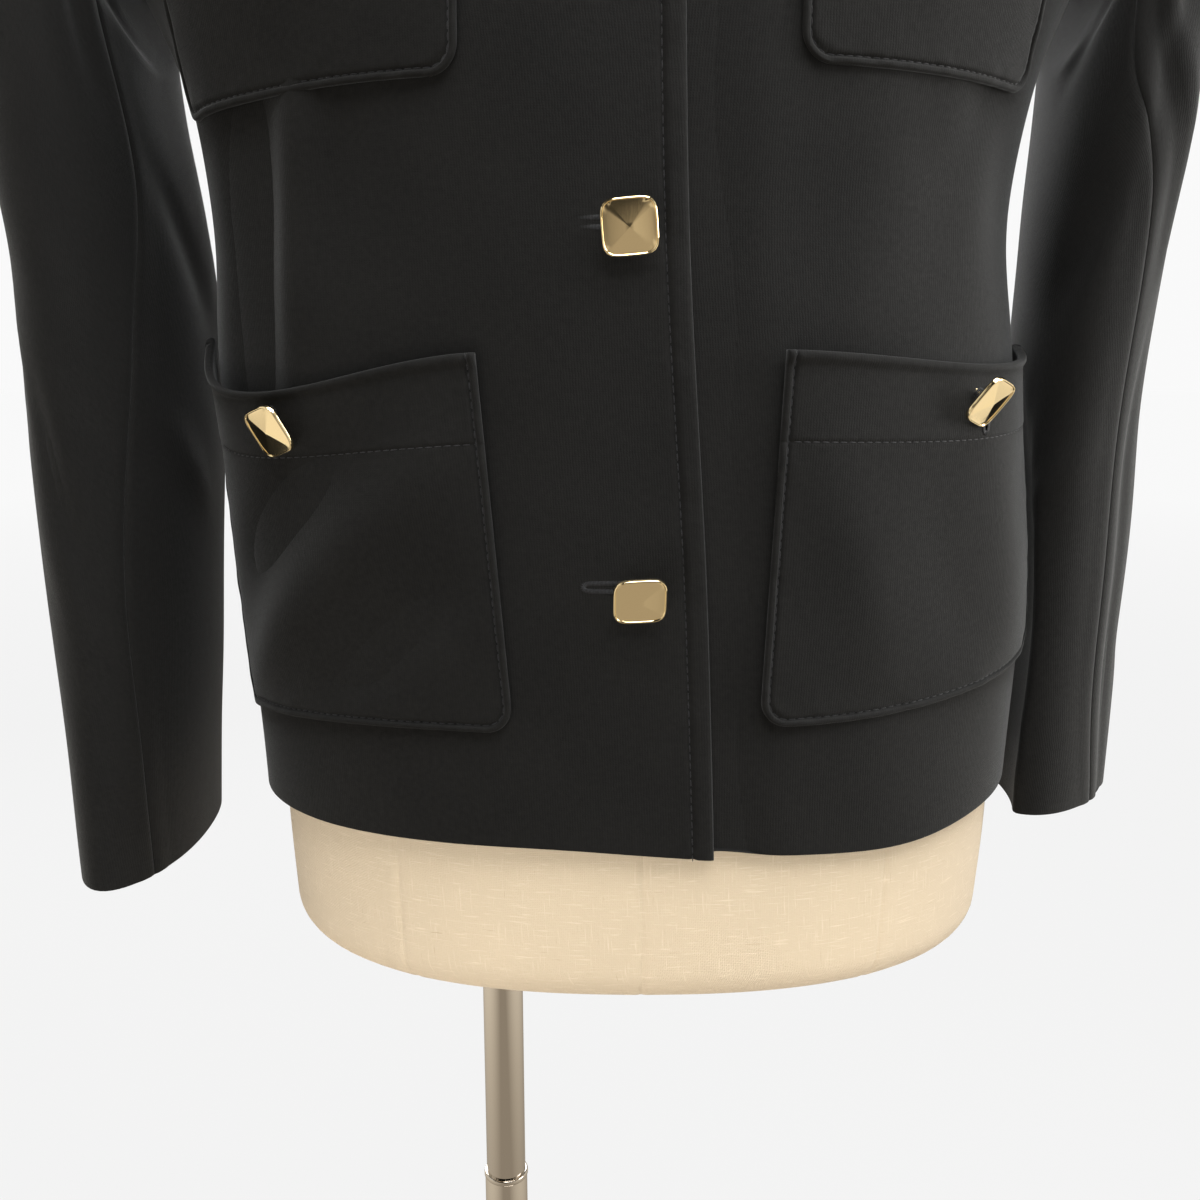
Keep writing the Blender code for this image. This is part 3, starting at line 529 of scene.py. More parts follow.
def backLattice(rows=(28, 16), columns=57):
    def lowerPoint(side, u, level):
        hem = hemHeight(side, 2 - u)
        height = hem + (underarmHeight - hem) * level
        centre = centreBack(side, height)
        seam = sideSeam(side, height) + seamGap / 2
        return bodyPoint(side * (centre + (seam - centre) * u), height)

    def panelUpperPoint(side, u, v):
        return upperPoint(side, "back", lambda share: lowerPoint(side, share, 1),
                          lambda share: upperEdge(side, "back", 0, share), u, v)

    shares = [(wearerLeft if share < 0 else wearerRight, abs(share)) for share in np.linspace(-1, 1, columns)]
    lattice = np.array([[lowerPoint(side, u, level) for side, u in shares]
                        for level in np.linspace(0, 1, rows[0])]
                       + [[panelUpperPoint(side, u, v) for side, u in shares]
                          for v in np.linspace(0, 1, rows[1])[1:]])
    return evened(lattice, rows[0] + 2, 40)


# Part of a sleeve between two of its seams, with columns beyond each for the normals there
def sleeveLattice(side, first, last, rows=50, beyond=2, perFacet=2):
    shares = np.linspace(1, 0, rows)
    edge = sleeveSeamGap / 2 / sleeveRadius
    start, end = np.array((first, last)) * 2 * math.pi / ringColumns + (edge, -edge)
    count = (last - first) * perFacet
    step = (end - start) / count
    columns = start + step * np.arange(-beyond, count + beyond + 1)
    twist = np.radians([readTable(twistTable, share)[0 if side == wearerRight else 1] for share in shares])
    angles = (columns[None, :] + twist[:, None] + math.pi) % (2 * math.pi) - math.pi
    lattice = np.array([[sleevePoint(side, share, angle) for angle in row] for share,
                        row in zip(shares, angles)])
    lattice[-1, :, 0] -= side * armholeLap
    rise = np.zeros(angles.shape)
    for foldSide, place, drift, low, high, width, amount in sleeveFolds:
        if foldSide == side:
            down = (shares - (low + high) / 2)[:, None]
            reach = (high - low) / 2
            off = np.degrees(angles) - place - drift * down / reach / 2
            off = (off + 180) % 360 - 180
            rise += amount * bell(off, width) * bell(down, reach)
    if side == wearerLeft:
        return movedOut(lattice[:, ::-1], rise[:, ::-1])
    return movedOut(lattice, rise)


# The fronts' faces by the way round from the centre and the height, for what lies on them
pocketReach = {"along": (.012, .25), "height": (.01, .425), "step": .0075}


@lru_cache(maxsize=None)
def frontPatch(side):
    alongs, heights = [np.arange(pocketReach[key][0], pocketReach[key][1], pocketReach["step"])
                       for key in ("along", "height")]
    return np.array([[frontPoint(side, side * along, height) for along in alongs] for height in heights])


def frontAt(side, along, height):
    columns = (along - pocketReach["along"][0]) / pocketReach["step"]
    rows = (height - pocketReach["height"][0]) / pocketReach["step"]
    points, normals = surfaceAt(frontPatch(side), rows, columns)
    return points, normals * side


def pocketExtent(name):  # its side, width and height
    side, _, _, width, bottom, _, mouth = pocketSizes[name][:7]
    return side, width, mouth - bottom


def cornerInset(rise):
    return pocketCorner * (1 - np.sqrt(1 - np.clip(1 - rise / pocketCorner, 0, 1) ** 2))


cornerStand = {"pocket_lower_right": .006, "pocket_lower_left": .002}  # the mouth's outer end stands up


# A patch pocket's face, by the share of its width from the inner edge and the rise from its bottom
def pocketAt(name, share, rise):
    side, innerTop, innerBottom, width, bottom, outerRise, mouth, sag, gape, gapePlace = pocketSizes[name]
    v = rise / (mouth - bottom)
    inset = cornerInset(rise)
    hang = sag * np.sin(math.pi * share ** sagPower) * v ** 3 - outerRise * share ** 2 * (1 - v)
    hang = hang - cornerStand.get(name, 0) * share ** 9 * v ** 4
    along = innerBottom + (innerTop - innerBottom) * v + inset + (width - 2 * inset) * share
    points, normals = frontAt(side, along, bottom + rise - hang)
    held = 1 - np.abs(2 * share - 1) ** 6
    lift = held * (pocketFullness * np.sin(math.pi * v / 2) + gape * bell(share - gapePlace,
                                                                          gapeWidth) * v ** 2.5)
    return points + normals * (lift + clothWall + pocketGap)[..., None], normals


def pocketEdges(name, share, rise):  # distances from the stitched edge and from the mouth
    _, width, height = pocketExtent(name)
    inset = cornerInset(rise)
    across = inset + (width - 2 * inset) * share
    aside = np.minimum(across, width - across)
    corner = pocketCorner - np.hypot(np.clip(pocketCorner - aside, 0, None),
                                     np.clip(pocketCorner - rise, 0, None))
    inCorner = (aside < pocketCorner) & (rise < pocketCorner)
    return np.where(inCorner, corner, np.minimum(aside, rise)), height - rise


def addObject(name, data):
    made = bpy.data.objects.new(name, data)
    bpy.context.scene.collection.objects.link(made)
    return made


def ringFaces(rings, count):  # a closed skin over rings of points, from the lowest up
    faces = [tuple(range(count))[::-1]]
    for first in range(0, (rings - 1) * count, count):
        faces += [(first + turn, first + (turn + 1) % count, first + count + (turn + 1) % count,
                   first + count + turn) for turn in range(count)]
    return faces + [tuple(range((rings - 1) * count, rings * count))]


def addPiece(name, points, faces, uvs, finish):
    mesh = bpy.data.meshes.new(name)
    mesh.from_pydata(points.tolist(), [], [tuple(face) for face in np.asarray(faces).tolist()]
                     if not isinstance(faces, list) else faces)
    corners = np.empty(len(mesh.loops), dtype=np.int32)
    mesh.loops.foreach_get("vertex_index", corners)
    mesh.uv_layers.new(name="cloth").data.foreach_set("uv",
                                                      np.asarray(uvs, dtype=np.float32)[corners].ravel())
    mesh.materials.append(finish)
    mesh.shade_smooth()
    piece = addObject(name, mesh)
    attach(piece, "root")
    return piece


# Closed wall of cloth: a grid of points moved out by the relief, with its inner face behind it
def clothShell(name, points, normals, relief, rounding, finish, thickness):
    rows, columns = points.shape[:2]
    outer = points + normals * (relief - rounding)[..., None]
    inner = points + normals * (rounding - thickness)[..., None]
    across, up = lengthsAlong(points, 1), lengthsAlong(points, 0)
    across = across - across[:, [columns // 2]]
    uv = np.stack((across, np.repeat(up[:, [columns // 2]], columns, axis=1)), axis=2).reshape(-1, 2)
    count = rows * columns
    number = np.arange(count).reshape(rows, columns)
    face = np.stack((number[:-1, :-1], number[:-1, 1:], number[1:, 1:], number[1:, :-1]),
                    axis=2).reshape(-1, 4)
    border = np.concatenate((number[0], number[1:, -1], number[-1, -2::-1], number[-2:0:-1, 0]))
    ahead = np.roll(border, -1)
    rim = np.stack((ahead, border, border + count, ahead + count), axis=1)
    faces = np.concatenate((face, face[:, ::-1] + count, rim))
    corners = np.concatenate((outer.reshape(-1, 3), inner.reshape(-1, 3))) + (0, 0, hemLevel)
    return addPiece(name, corners, faces, np.concatenate((uv, uv)), finish)


class Graph:  # shorthands for wiring nodes
    def __init__(self, tree):
        self.tree = tree

    def add(self, kind, **settings):
        node = self.tree.nodes.new(kind)
        for key, value in settings.items():
            setattr(node, key, value)
        return node

    def feed(self, socket, value):
        if isinstance(value, bpy.types.NodeSocket):
            self.tree.links.new(value, socket)
        elif value is not None:
            socket.default_value = value

    def wire(self, kind, inputs, **settings):  # a node with its inputs by name or number
        node = self.add(kind, **settings)
        for key, value in inputs.items():
            self.feed(node.inputs[key], value)
        return node.outputs

    def maths(self, operation, *values):
        return self.wire("ShaderNodeMath", dict(enumerate(values)), operation=operation)[0]

    def noise(self, vector, scale, detail=2.0, roughness=.5):
        return self.wire("ShaderNodeTexNoise", {"Vector": vector, "Scale": scale, "Detail": detail,
                                                "Roughness": roughness, "Distortion": 0.0})["Fac"]

    def stretch(self, vector, scale):
        return self.wire("ShaderNodeMapping", {"Vector": vector, "Scale": scale})["Vector"]

    def mixed(self, factor, first, second):
        return self.wire("ShaderNodeMix", {0: factor, 6: first, 7: second}, data_type="RGBA")[2]

    def ramp(self, factor, stops):
        node = self.add("ShaderNodeValToRGB")
        self.feed(node.inputs[0], factor)
        elements = node.color_ramp.elements
        while len(elements) < len(stops):
            elements.new(.5)
        for element, (place, colour) in zip(elements, stops):
            element.position = place
            element.color = (*colour, 1)
        return node.outputs["Color"]

    def levels(self, value, low, high, newLow=0.0, newHigh=1.0):
        return self.wire("ShaderNodeMapRange", dict(enumerate((value, low, high, newLow, newHigh))))[0]

    def split(self, vector):
        return self.wire("ShaderNodeSeparateXYZ", {0: vector})


def nodeGroup(name, inputs, outputs, kind="ShaderNodeTree"):
    tree = bpy.data.node_groups.new(name, kind)
    for label, socketKind, default in inputs:
        socket = tree.interface.new_socket(label, in_out="INPUT", socket_type=socketKind)
        if default is not None:
            socket.default_value = default
    for label, socketKind in outputs:
        tree.interface.new_socket(label, in_out="OUTPUT", socket_type=socketKind)
    graph = Graph(tree)
    return graph, graph.add("NodeGroupInput").outputs, graph.add("NodeGroupOutput").inputs


# Double-knit face: wales that run up the cloth, rows of stitches across them, and short fuzz on top
def knitGroup():
    graph, given, out = nodeGroup(
        "double knit", (("Vector", "NodeSocketVector", None), ("Wale", "NodeSocketFloat", .001),
                        ("Course", "NodeSocketFloat", .0008), ("Fuzz", "NodeSocketFloat", .5)),
        (("Height", "NodeSocketFloat"), ("Shade", "NodeSocketFloat")))
    x, y, _ = graph.split(given["Vector"])
    wander = graph.maths("MULTIPLY", graph.noise(given["Vector"], 300.0, 2.0), .7)
    wale = graph.maths("ADD", graph.maths("DIVIDE", x, given["Wale"]), wander)
    halfway = graph.maths("ABSOLUTE", graph.maths("SUBTRACT", graph.maths("FRACT", wale), .5))
    course = graph.maths("ADD", graph.maths("DIVIDE", y, given["Course"]), halfway)
    loop = graph.maths("ABSOLUTE", graph.maths("SINE", graph.maths("MULTIPLY", course, math.pi)))
    column = graph.maths("SUBTRACT", 1.0, graph.maths("POWER", graph.maths("MULTIPLY", halfway, 2.0), 3.0))
    knit = graph.maths("MULTIPLY", column, graph.maths("MULTIPLY_ADD", loop, .25, .35))
    fuzz = graph.noise(given["Vector"], 1600.0, 3.0, .7)
    graph.feed(out["Height"], graph.maths("MULTIPLY_ADD", fuzz, given["Fuzz"], knit))
    pile = graph.noise(given["Vector"], 420.0, 3.0, .65)
    wear = graph.noise(given["Vector"], 22.0, 2.0, .5)
    graph.feed(out["Shade"], graph.maths("MULTIPLY_ADD", pile, .7, graph.maths("MULTIPLY", wear, .3)))
    return graph.tree


# Plain weave: threads over and under each other, with thicker slubs here and there
def weaveGroup():
    graph, given, out = nodeGroup(
        "plain weave", (("Vector", "NodeSocketVector", None), ("Thread", "NodeSocketFloat", .0009),
                        ("Unevenness", "NodeSocketFloat", .35)),
        (("Height", "NodeSocketFloat"), ("Slub", "NodeSocketFloat"), ("Gap", "NodeSocketFloat"),
         ("Fleck", "NodeSocketFloat")))
    wobble = graph.noise(given["Vector"], 160.0, 2.0)
    shift = graph.maths("MULTIPLY", graph.maths("SUBTRACT", wobble, .5),
                        graph.maths("MULTIPLY", given["Unevenness"], 2.0))
    x, y, _ = graph.split(given["Vector"])
    warp = graph.maths("ADD", graph.maths("DIVIDE", x, given["Thread"]), shift)
    weft = graph.maths("ADD", graph.maths("DIVIDE", y, given["Thread"]), shift)
    warpRound, weftRound = [graph.maths("ABSOLUTE",
                                        graph.maths("SINE", graph.maths("MULTIPLY", way, math.pi)))
                            for way in (warp, weft)]
    over = graph.maths("MODULO", graph.maths("ADD", graph.maths("FLOOR", warp), graph.maths("FLOOR", weft)),
                       2.0)
    over = graph.maths("ABSOLUTE", over)
    warpTop = graph.maths("MULTIPLY", warpRound, graph.maths("MULTIPLY_ADD", weftRound, .5, over))
    weftTop = graph.maths("MULTIPLY", weftRound,
                          graph.maths("MULTIPLY_ADD", warpRound, .5, graph.maths("SUBTRACT", 1.0, over)))
    height = graph.maths("MAXIMUM", warpTop, weftTop)
    across = graph.noise(graph.stretch(given["Vector"], (85.0, 1250.0, 1.0)), 1.0, 2.0, .6)
    upward = graph.noise(graph.stretch(given["Vector"], (1250.0, 65.0, 1.0)), 1.0, 2.0, .6)
    slub = graph.maths("MAXIMUM", graph.levels(across, .58, .74), graph.levels(upward, .6, .78))
    graph.feed(out["Height"], graph.maths("MULTIPLY_ADD", slub, .6, height))
    graph.feed(out["Slub"], slub)
    graph.feed(out["Fleck"], graph.maths("MAXIMUM", graph.levels(across, .31, .24),
                                         graph.levels(upward, .3, .23)))
    graph.feed(out["Gap"], graph.levels(height, .15, .6, 1.0, 0.0))
    return graph.tree


# Fine rub marks of polished metal
def polishGroup():
    graph, given, out = nodeGroup(
        "polish", (("Vector", "NodeSocketVector", None), ("Roughness", "NodeSocketFloat", .06),
                   ("Spread", "NodeSocketFloat", .06)),
        (("Roughness", "NodeSocketFloat"), ("Height", "NodeSocketFloat")))
    cloud = graph.noise(given["Vector"], 60.0, 3.0, .6)
    hair = graph.noise(graph.stretch(given["Vector"], (900.0, 900.0, 60.0)), 1.0, 2.0)
    graph.feed(out["Roughness"], graph.maths("MULTIPLY_ADD", cloud, given["Spread"], given["Roughness"]))
    graph.feed(out["Height"], hair)
    return graph.tree


def newMaterial(name, **sockets):
    made = bpy.data.materials.new(name)
    made.use_nodes = True
    shader = made.node_tree.nodes["Principled BSDF"]
    for key, value in sockets.items():
        shader.inputs[key.replace("_", " ")].default_value = value
    return made, Graph(made.node_tree), shader


def placeGroup(graph, tree, vector, **values):
    return graph.wire("ShaderNodeGroup", {"Vector": vector, **values}, node_tree=tree)


def bump(graph, shader, height, distance, strength=1.0):
    graph.feed(shader.inputs["Normal"], graph.wire(
        "ShaderNodeBump", {"Distance": distance, "Strength": strength, "Height": height})["Normal"])


def uvVector(graph):
    return graph.add("ShaderNodeUVMap", uv_map="cloth").outputs["UV"]


def objectVector(graph):
    return graph.add("ShaderNodeTexCoord").outputs["Object"]


jersey = {"dark": (.003, .003, .0029), "light": (.0072, .0071, .0068), "sheen": .12,
          "wale": .00105,
          "course": .00085, "relief": .00009}


def jerseyMaterial():
    made, graph, shader = newMaterial(
        "black double-knit jersey", Roughness=.82, Specular_IOR_Level=.22, Sheen_Weight=jersey["sheen"],
        Sheen_Roughness=.38, Sheen_Tint=(.88, .9, .91, 1))
    knit = placeGroup(graph, knitNodes, uvVector(graph), Wale=jersey["wale"], Course=jersey["course"],
                      Fuzz=1.3)
    graph.feed(shader.inputs["Base Color"], graph.ramp(knit["Shade"],
                                                       ((.3, jersey["dark"]), (.72, jersey["light"]))))
    graph.feed(shader.inputs["Roughness"], graph.levels(knit["Shade"], .2, .8, .88, .72))
    bump(graph, shader, knit["Height"], jersey["relief"])
    return made


def threadMaterial():
    made, graph, shader = newMaterial("black sewing thread", Roughness=.55, Specular_IOR_Level=.4,
                                      Sheen_Weight=.2, Sheen_Roughness=.4)
    place = objectVector(graph)
    twist = graph.noise(place, 1500.0, 1.0)
    graph.feed(shader.inputs["Base Color"], graph.ramp(twist,
                                                       ((.3, (.008, .008, .009)),
                                                        (.7, (.022, .023, .026)))))
    bump(graph, shader, twist, .0001)
    return made


linen = {"base": (.58, .478, .345), "dark": (.44, .345, .236), "slub": (.8, .695, .54),
         "thread": .00075,
         "gap": .28, "slubs": .4, "fleck": .8, "relief": .00009}


def linenMaterial():
    made, graph, shader = newMaterial("natural linen", Roughness=.92, Specular_IOR_Level=.25,
                                      Sheen_Weight=.12,
                                      Sheen_Roughness=.5)
    place = uvVector(graph)
    weave = placeGroup(graph, weaveNodes, place, Thread=linen["thread"], Unevenness=.3)
    tint = graph.noise(place, 9.0, 3.0, .55)
    cloth = graph.ramp(tint, ((.3, tuple(.94 * c for c in linen["base"])), (.7, linen["base"])))

    colour = graph.mixed(graph.maths("MULTIPLY", weave["Gap"], linen["gap"]), cloth, (*linen["dark"], 1))
    colour = graph.mixed(graph.maths("MULTIPLY", weave["Slub"], linen["slubs"]), colour,
                         (*linen["slub"], 1))
    colour = graph.mixed(graph.maths("MULTIPLY", weave["Fleck"], linen["fleck"]), colour,
                         (*linen["dark"], 1))
    graph.feed(shader.inputs["Base Color"], colour)
    bump(graph, shader, weave["Height"], linen["relief"])
    return made


metals = {"polished gold": ((.93, .77, .47, 1), .05, .08, .5),  # colour, roughness, its spread, marks
          "chrome": ((.6, .55, .485, 1), .04, .06, .4)}
markDepth = .00001


def metalMaterial(name):
    colour, roughness, spreadOut, marks = metals[name]
    made, graph, shader = newMaterial(name, Metallic=1.0, Base_Color=colour)
    polish = placeGroup(graph, polishNodes, objectVector(graph), Roughness=roughness, Spread=spreadOut)
    graph.feed(shader.inputs["Roughness"], polish["Roughness"])
    bump(graph, shader, polish["Height"], markDepth, marks)
    return made


ground = {
    "paleReach": (1.5, 9.0), "pale": ((0.0, (.86, .86, .86)), (1.0, (.94, .94, .94))),
    # room: the floor's colour for bounced light; aside, ahead and the ramp after them: the painted
    # reflection, a glow that only glossy rays see
    "room": (.42, .37, .31, 1), "aside": (.35, 1.5, .4, 1.0), "ahead": (1.9, 3.4, 0.0, .4),
    "paintedReflection": ((0.0, (.05, .045, .038)), (.4, (.42, .367, .3)), (1.0, (1.0, .92, .78))),
}


def floorMaterial():  # the camera sees a pale studio floor and bounced light sees a room's floor colour; reflections see a painted reflection, a glow of the floor that is brighter to the sides and darker far from the stand
    made, graph, pale = newMaterial("pale floor", Roughness=.7, Specular_IOR_Level=0.0,
                                    Emission_Strength=1.0,
                                    Base_Color=(.03, .03, .03, 1))
    place = objectVector(graph)
    away = graph.wire("ShaderNodeVectorMath", {0: place}, operation="LENGTH")["Value"]
    graph.feed(pale.inputs["Emission Color"],
               graph.ramp(graph.levels(away, *ground["paleReach"]), ground["pale"]))
    room = graph.wire("ShaderNodeBsdfPrincipled", {"Base Color": ground["room"], "Roughness": .8})
    # painted reflection: the floor glows for glossy rays, from beige in the middle to bright cream at the
    # sides, and darker beyond 1.9 m from the stand
    aside = graph.levels(graph.maths("ABSOLUTE", graph.split(place)[0]), *ground["aside"])
    paintedReflection = graph.wire("ShaderNodeEmission", {"Color": graph.ramp(
        graph.maths("SUBTRACT", aside, graph.levels(away, *ground["ahead"])), ground["paintedReflection"])})
    rays, shown = graph.add("ShaderNodeLightPath").outputs, room
    for kind, other in (("Is Glossy Ray", paintedReflection[0]), ("Is Camera Ray", pale.outputs[0])):
        shown = graph.wire("ShaderNodeMixShader", {0: rays[kind], 1: shown[0], 2: other})
    graph.feed(made.node_tree.nodes["Material Output"].inputs["Surface"], shown[0])
    return made


knitNodes, weaveNodes, polishNodes = knitGroup(), weaveGroup(), polishGroup()
blackJersey, blackThread, naturalLinen = jerseyMaterial(), threadMaterial(), linenMaterial()
# painted shade for the buttonholes: a near-black finish with no shine, for flat sheets that stand in for the
# shadow inside each slit
slitShadeMaterial = newMaterial("slitShade", Base_Color=(.0006, .0006, .0006, 1), Roughness=1.0,
                       Specular_IOR_Level=0.0)[0]
polishedGold, chrome = metalMaterial("polished gold"), metalMaterial("chrome")
print("finishes ready")


def stitchTree():  # a thread lies on the cloth at even steps along each line, or across it
    graph, given, out = nodeGroup(
        "stitches along a line", (("Geometry", "NodeSocketGeometry", None),
                                  ("Step", "NodeSocketFloat", .0035),
                                  ("Thread length", "NodeSocketFloat", .0026),
                                  ("Thread width", "NodeSocketFloat", .0005),
                                  ("Across", "NodeSocketFloat", 0.0),
                                  ("Thread", "NodeSocketMaterial", None)),
        (("Geometry", "NodeSocketGeometry"),), "GeometryNodeTree")
    line = graph.wire("GeometryNodeMeshToCurve", {"Mesh": given["Geometry"]})
    places = graph.wire("GeometryNodeCurveToPoints", {"Curve": line["Curve"], "Length": given["Step"]},
                        mode="LENGTH")
    facing = graph.wire("GeometryNodeInputNamedAttribute", {"Name": "facing"},
                        data_type="FLOAT_VECTOR")["Attribute"]
    sideways = graph.wire("ShaderNodeVectorMath", {0: places["Tangent"], 1: facing},
                          operation="CROSS_PRODUCT")[0]
    way = graph.wire("ShaderNodeMix", {0: given["Across"], 4: places["Tangent"], 5: sideways},
                     data_type="VECTOR")[1]
    turn = graph.wire("FunctionNodeAxesToRotation", {0: way, 1: facing}, primary_axis="Z",
                      secondary_axis="X")[0]
    thread = graph.wire("GeometryNodeMeshUVSphere", {"Segments": 6, "Rings": 5, "Radius": .5})["Mesh"]
    size = graph.wire("ShaderNodeCombineXYZ", {0: given["Thread width"], 1: given["Thread width"],
                                               2: given["Thread length"]})[0]
    copies = graph.wire("GeometryNodeInstanceOnPoints", {"Points": places["Points"], "Instance": thread,
                                                         "Rotation": turn, "Scale": size})
    real = graph.wire("GeometryNodeRealizeInstances", {0: copies[0]})
    finish = graph.wire("GeometryNodeSetMaterial", {"Geometry": real[0], "Material": given["Thread"]})
    graph.feed(out["Geometry"], graph.wire("GeometryNodeSetShadeSmooth", {0: finish[0]})[0])
    return graph.tree


stitchNodes = stitchTree()
topstitch = {"Step": .0035, "Thread length": .0027, "Thread width": .0005, "Across": 0.0}
stitchLift = .00012
barStitch = {"Step": .0005, "Thread length": .0019, "Thread width": .00048, "Across": 1.0}


# Threads along lines of (points, normals), made a plain mesh
def addStitches(name, lines, size):
    points = np.concatenate([line for line, _ in lines])
    normals = np.concatenate([facing for _, facing in lines])
    edges, first = [], 0
    for line, _ in lines:
        edges += [(first + here, first + here + 1) for here in range(len(line) - 1)]
        first += len(line)
    mesh = bpy.data.meshes.new(name)
    mesh.from_pydata((points + (0, 0, hemLevel)).tolist(), edges, [])
    mesh.attributes.new("facing", "FLOAT_VECTOR", "POINT").data.foreach_set("vector", normals.ravel())
    piece = addObject(name, mesh)
    made = piece.modifiers.new("Stitches", "NODES")
    made.node_group = stitchNodes
    for item in stitchNodes.interface.items_tree:
        if item.in_out == "INPUT" and item.name != "Geometry":
            made[item.identifier] = blackThread if item.name == "Thread" else size[item.name]
    result = bpy.data.meshes.new_from_object(piece.evaluated_get(bpy.context.evaluated_depsgraph_get()))
    piece.modifiers.clear()
    piece.data = result
    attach(piece, "root")
    return piece


cloth = {
    "spacing": .004, "rim": .0009, "topstitch": .0085, "welt": .00055, "sink": .00075,
    "frontEdge": (0, .00025, .0007, .0013, .0022, .0035, .005, .0063, .0073, .0078, .0082, .0085, .0088,
                  .0092,
                  .0097, .0107, .0122, .0145),
    "seam": (0, .0002, .0005, .0009, .0016, .0028, .0045),
    "hem": (0, .0002, .0005, .0009, .0016, .0028, .0045, .007),
}


def rimRounding(*distances, radius=cloth["rim"]):
    nearest = np.minimum.reduce(distances)
    return radius * (1 - np.sqrt(1 - np.clip(1 - nearest / radius, 0, 1) ** 2))


def stitchedEdge(distance, place, welt, sink, width=.0008):
    swell = smoothStep(distance / (.25 * place))
    swell = swell * (1 - smoothStep((distance - .72 * place) / (.24 * place)))
    return welt * swell - sink * bell(distance - place, width)


def softWaves(across, up, seed, amount):  # slight unevenness of worn cloth
    turns = np.random.default_rng(seed)
    total = np.zeros_like(across)
    for length in (.15, .11, .085, .06):
        angle, phase = turns.uniform(0, math.pi), turns.uniform(0, 2 * math.pi)
        way = across * math.cos(angle) + up * math.sin(angle)
        total += length / .15 * np.sin(2 * math.pi * way / length + phase)
    return amount * total


# Soft ridges and troughs, each from one place to another, with its width and rise
def foldRelief(x, y, folds):
    total = np.zeros_like(x)
    for startX, startY, endX, endY, width, rise in folds:
        wayX, wayY = endX - startX, endY - startY
        length = math.hypot(wayX, wayY)
        along = ((x - startX) * wayX + (y - startY) * wayY) / length ** 2
        aside = ((x - startX) * wayY - (y - startY) * wayX) / length
        total += rise * bell(aside, width) * smoothStep((along + .3) / .7) * smoothStep((1.3 - along) / .7)
    return total


def ripple(along, seed, amount):  # pulling of a stitched edge
    turns = np.random.default_rng(seed)
    return amount * sum(np.sin(2 * math.pi * along / length + turns.uniform(0, 6))
                        for length in (.031, .019, .013))


def declareCloth(standsFor):
    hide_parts(standsFor)


def edgeAtHeight(heights):
    known = np.linspace(-.01, .6, 123)
    return np.interp(heights, known, [edgeX(wearerRight, height) for height in known])


frontLattices = {side: frontLattice(side) for side in (wearerRight, wearerLeft)}


def onFront(side, x, height):  # the row and column of a front's lattice at a given X and height
    lattice = frontLattices[side]
    x, height = np.atleast_1d(x), np.atleast_1d(height)
    away = ((lattice[None, :, :, 0] - x[:, None, None]) ** 2
            + (lattice[None, :, :, 2] - height[:, None, None]) ** 2)
    rows, columns = np.unravel_index(away.reshape(len(x), -1).argmin(axis=1), lattice.shape[:2])
    rows, columns = rows.astype(float), columns.astype(float)
    for _ in range(6):
        here = lookUp(lattice, rows, columns)
        byRow = (lookUp(lattice, rows + .01, columns) - here) / .01
        byColumn = (lookUp(lattice, rows, columns + .01) - here) / .01
        offX, offZ = x - here[:, 0], height - here[:, 2]
        size = byRow[:, 0] * byColumn[:, 2] - byRow[:, 2] * byColumn[:, 0]
        rows = rows + (offX * byColumn[:, 2] - offZ * byColumn[:, 0]) / size
        columns = columns + (offZ * byRow[:, 0] - offX * byRow[:, 2]) / size
    return rows, columns


# The fronts' folds from one X and height to another
frontFolds = {
    wearerRight: (
        (-.125, .31, -.133, .175, .0105, .0046), (-.148, .295, -.154, .16, .012, -.0052),
        (-.105, .335, -.112, .235, .015, -.0014), (-.07, .25, -.09, .06, .022, -.0012),
        (-.03, .33, -.045, .15, .024, .001),
    ),
    wearerLeft: (
        (.118, .3, .128, .215, .013, .0022), (.06, .26, .045, .08, .023, -.0014),
        (.143, .335, .115, .255, .009, -.0024), (.085, .33, .08, .19, .018, .0014),
    ),
}
backFolds = (
    (.115, .345, .06, .24, .012, -.002), (-.125, .345, -.07, .23, .012, -.0022),
    (.075, .3, .09, .05, .024, .0018), (-.06, .28, -.085, .04, .024, .0018),
    (.02, .24, .005, .06, .022, -.0014), (-.13, .19, -.15, .07, .013, .0018),
    (.125, .23, .14, .09, .013, -.0016), (.13, .4, .07, .44, .015, -.0016),
    (-.13, .41, -.065, .45, .015, -.0016),
)
# The sleeves' folds, by the reach from the front seam and the height above the cuff
sleeveCreases = {
    (wearerRight, "upper"): (
        (.015, .42, .009, .345, .007, .0024), (.03, .42, .023, .33, .008, -.002),
        (.052, .215, .02, .14, .0065, -.0024), (.066, .205, .036, .13, .008, .0016),
        (.11, .3, .06, .24, .011, -.0018), (.13, .4, .09, .34, .012, .0018),
        (.07, .11, .11, .06, .011, -.0012),
    ),
    (wearerRight, "under"): (
        (.02, .3, .06, .25, .009, -.0018), (.015, .2, .06, .16, .009, .0014),
        (.02, .39, .06, .36, .008, -.0016),
    ),
    (wearerLeft, "upper"): (
        (.03, .36, .013, .19, .007, .0026), (.062, .34, .046, .18, .011, -.0018),
        (.12, .28, .07, .22, .011, -.0018), (.1, .39, .06, .35, .01, .0018),
        (.08, .12, .045, .07, .011, -.0014),
    ),
    (wearerLeft, "under"): (
        (.022, .28, .06, .23, .009, -.0018), (.018, .17, .06, .14, .009, .0014),
        (.02, .36, .06, .33, .008, -.0016),
    ),
}
clothFaces = {}


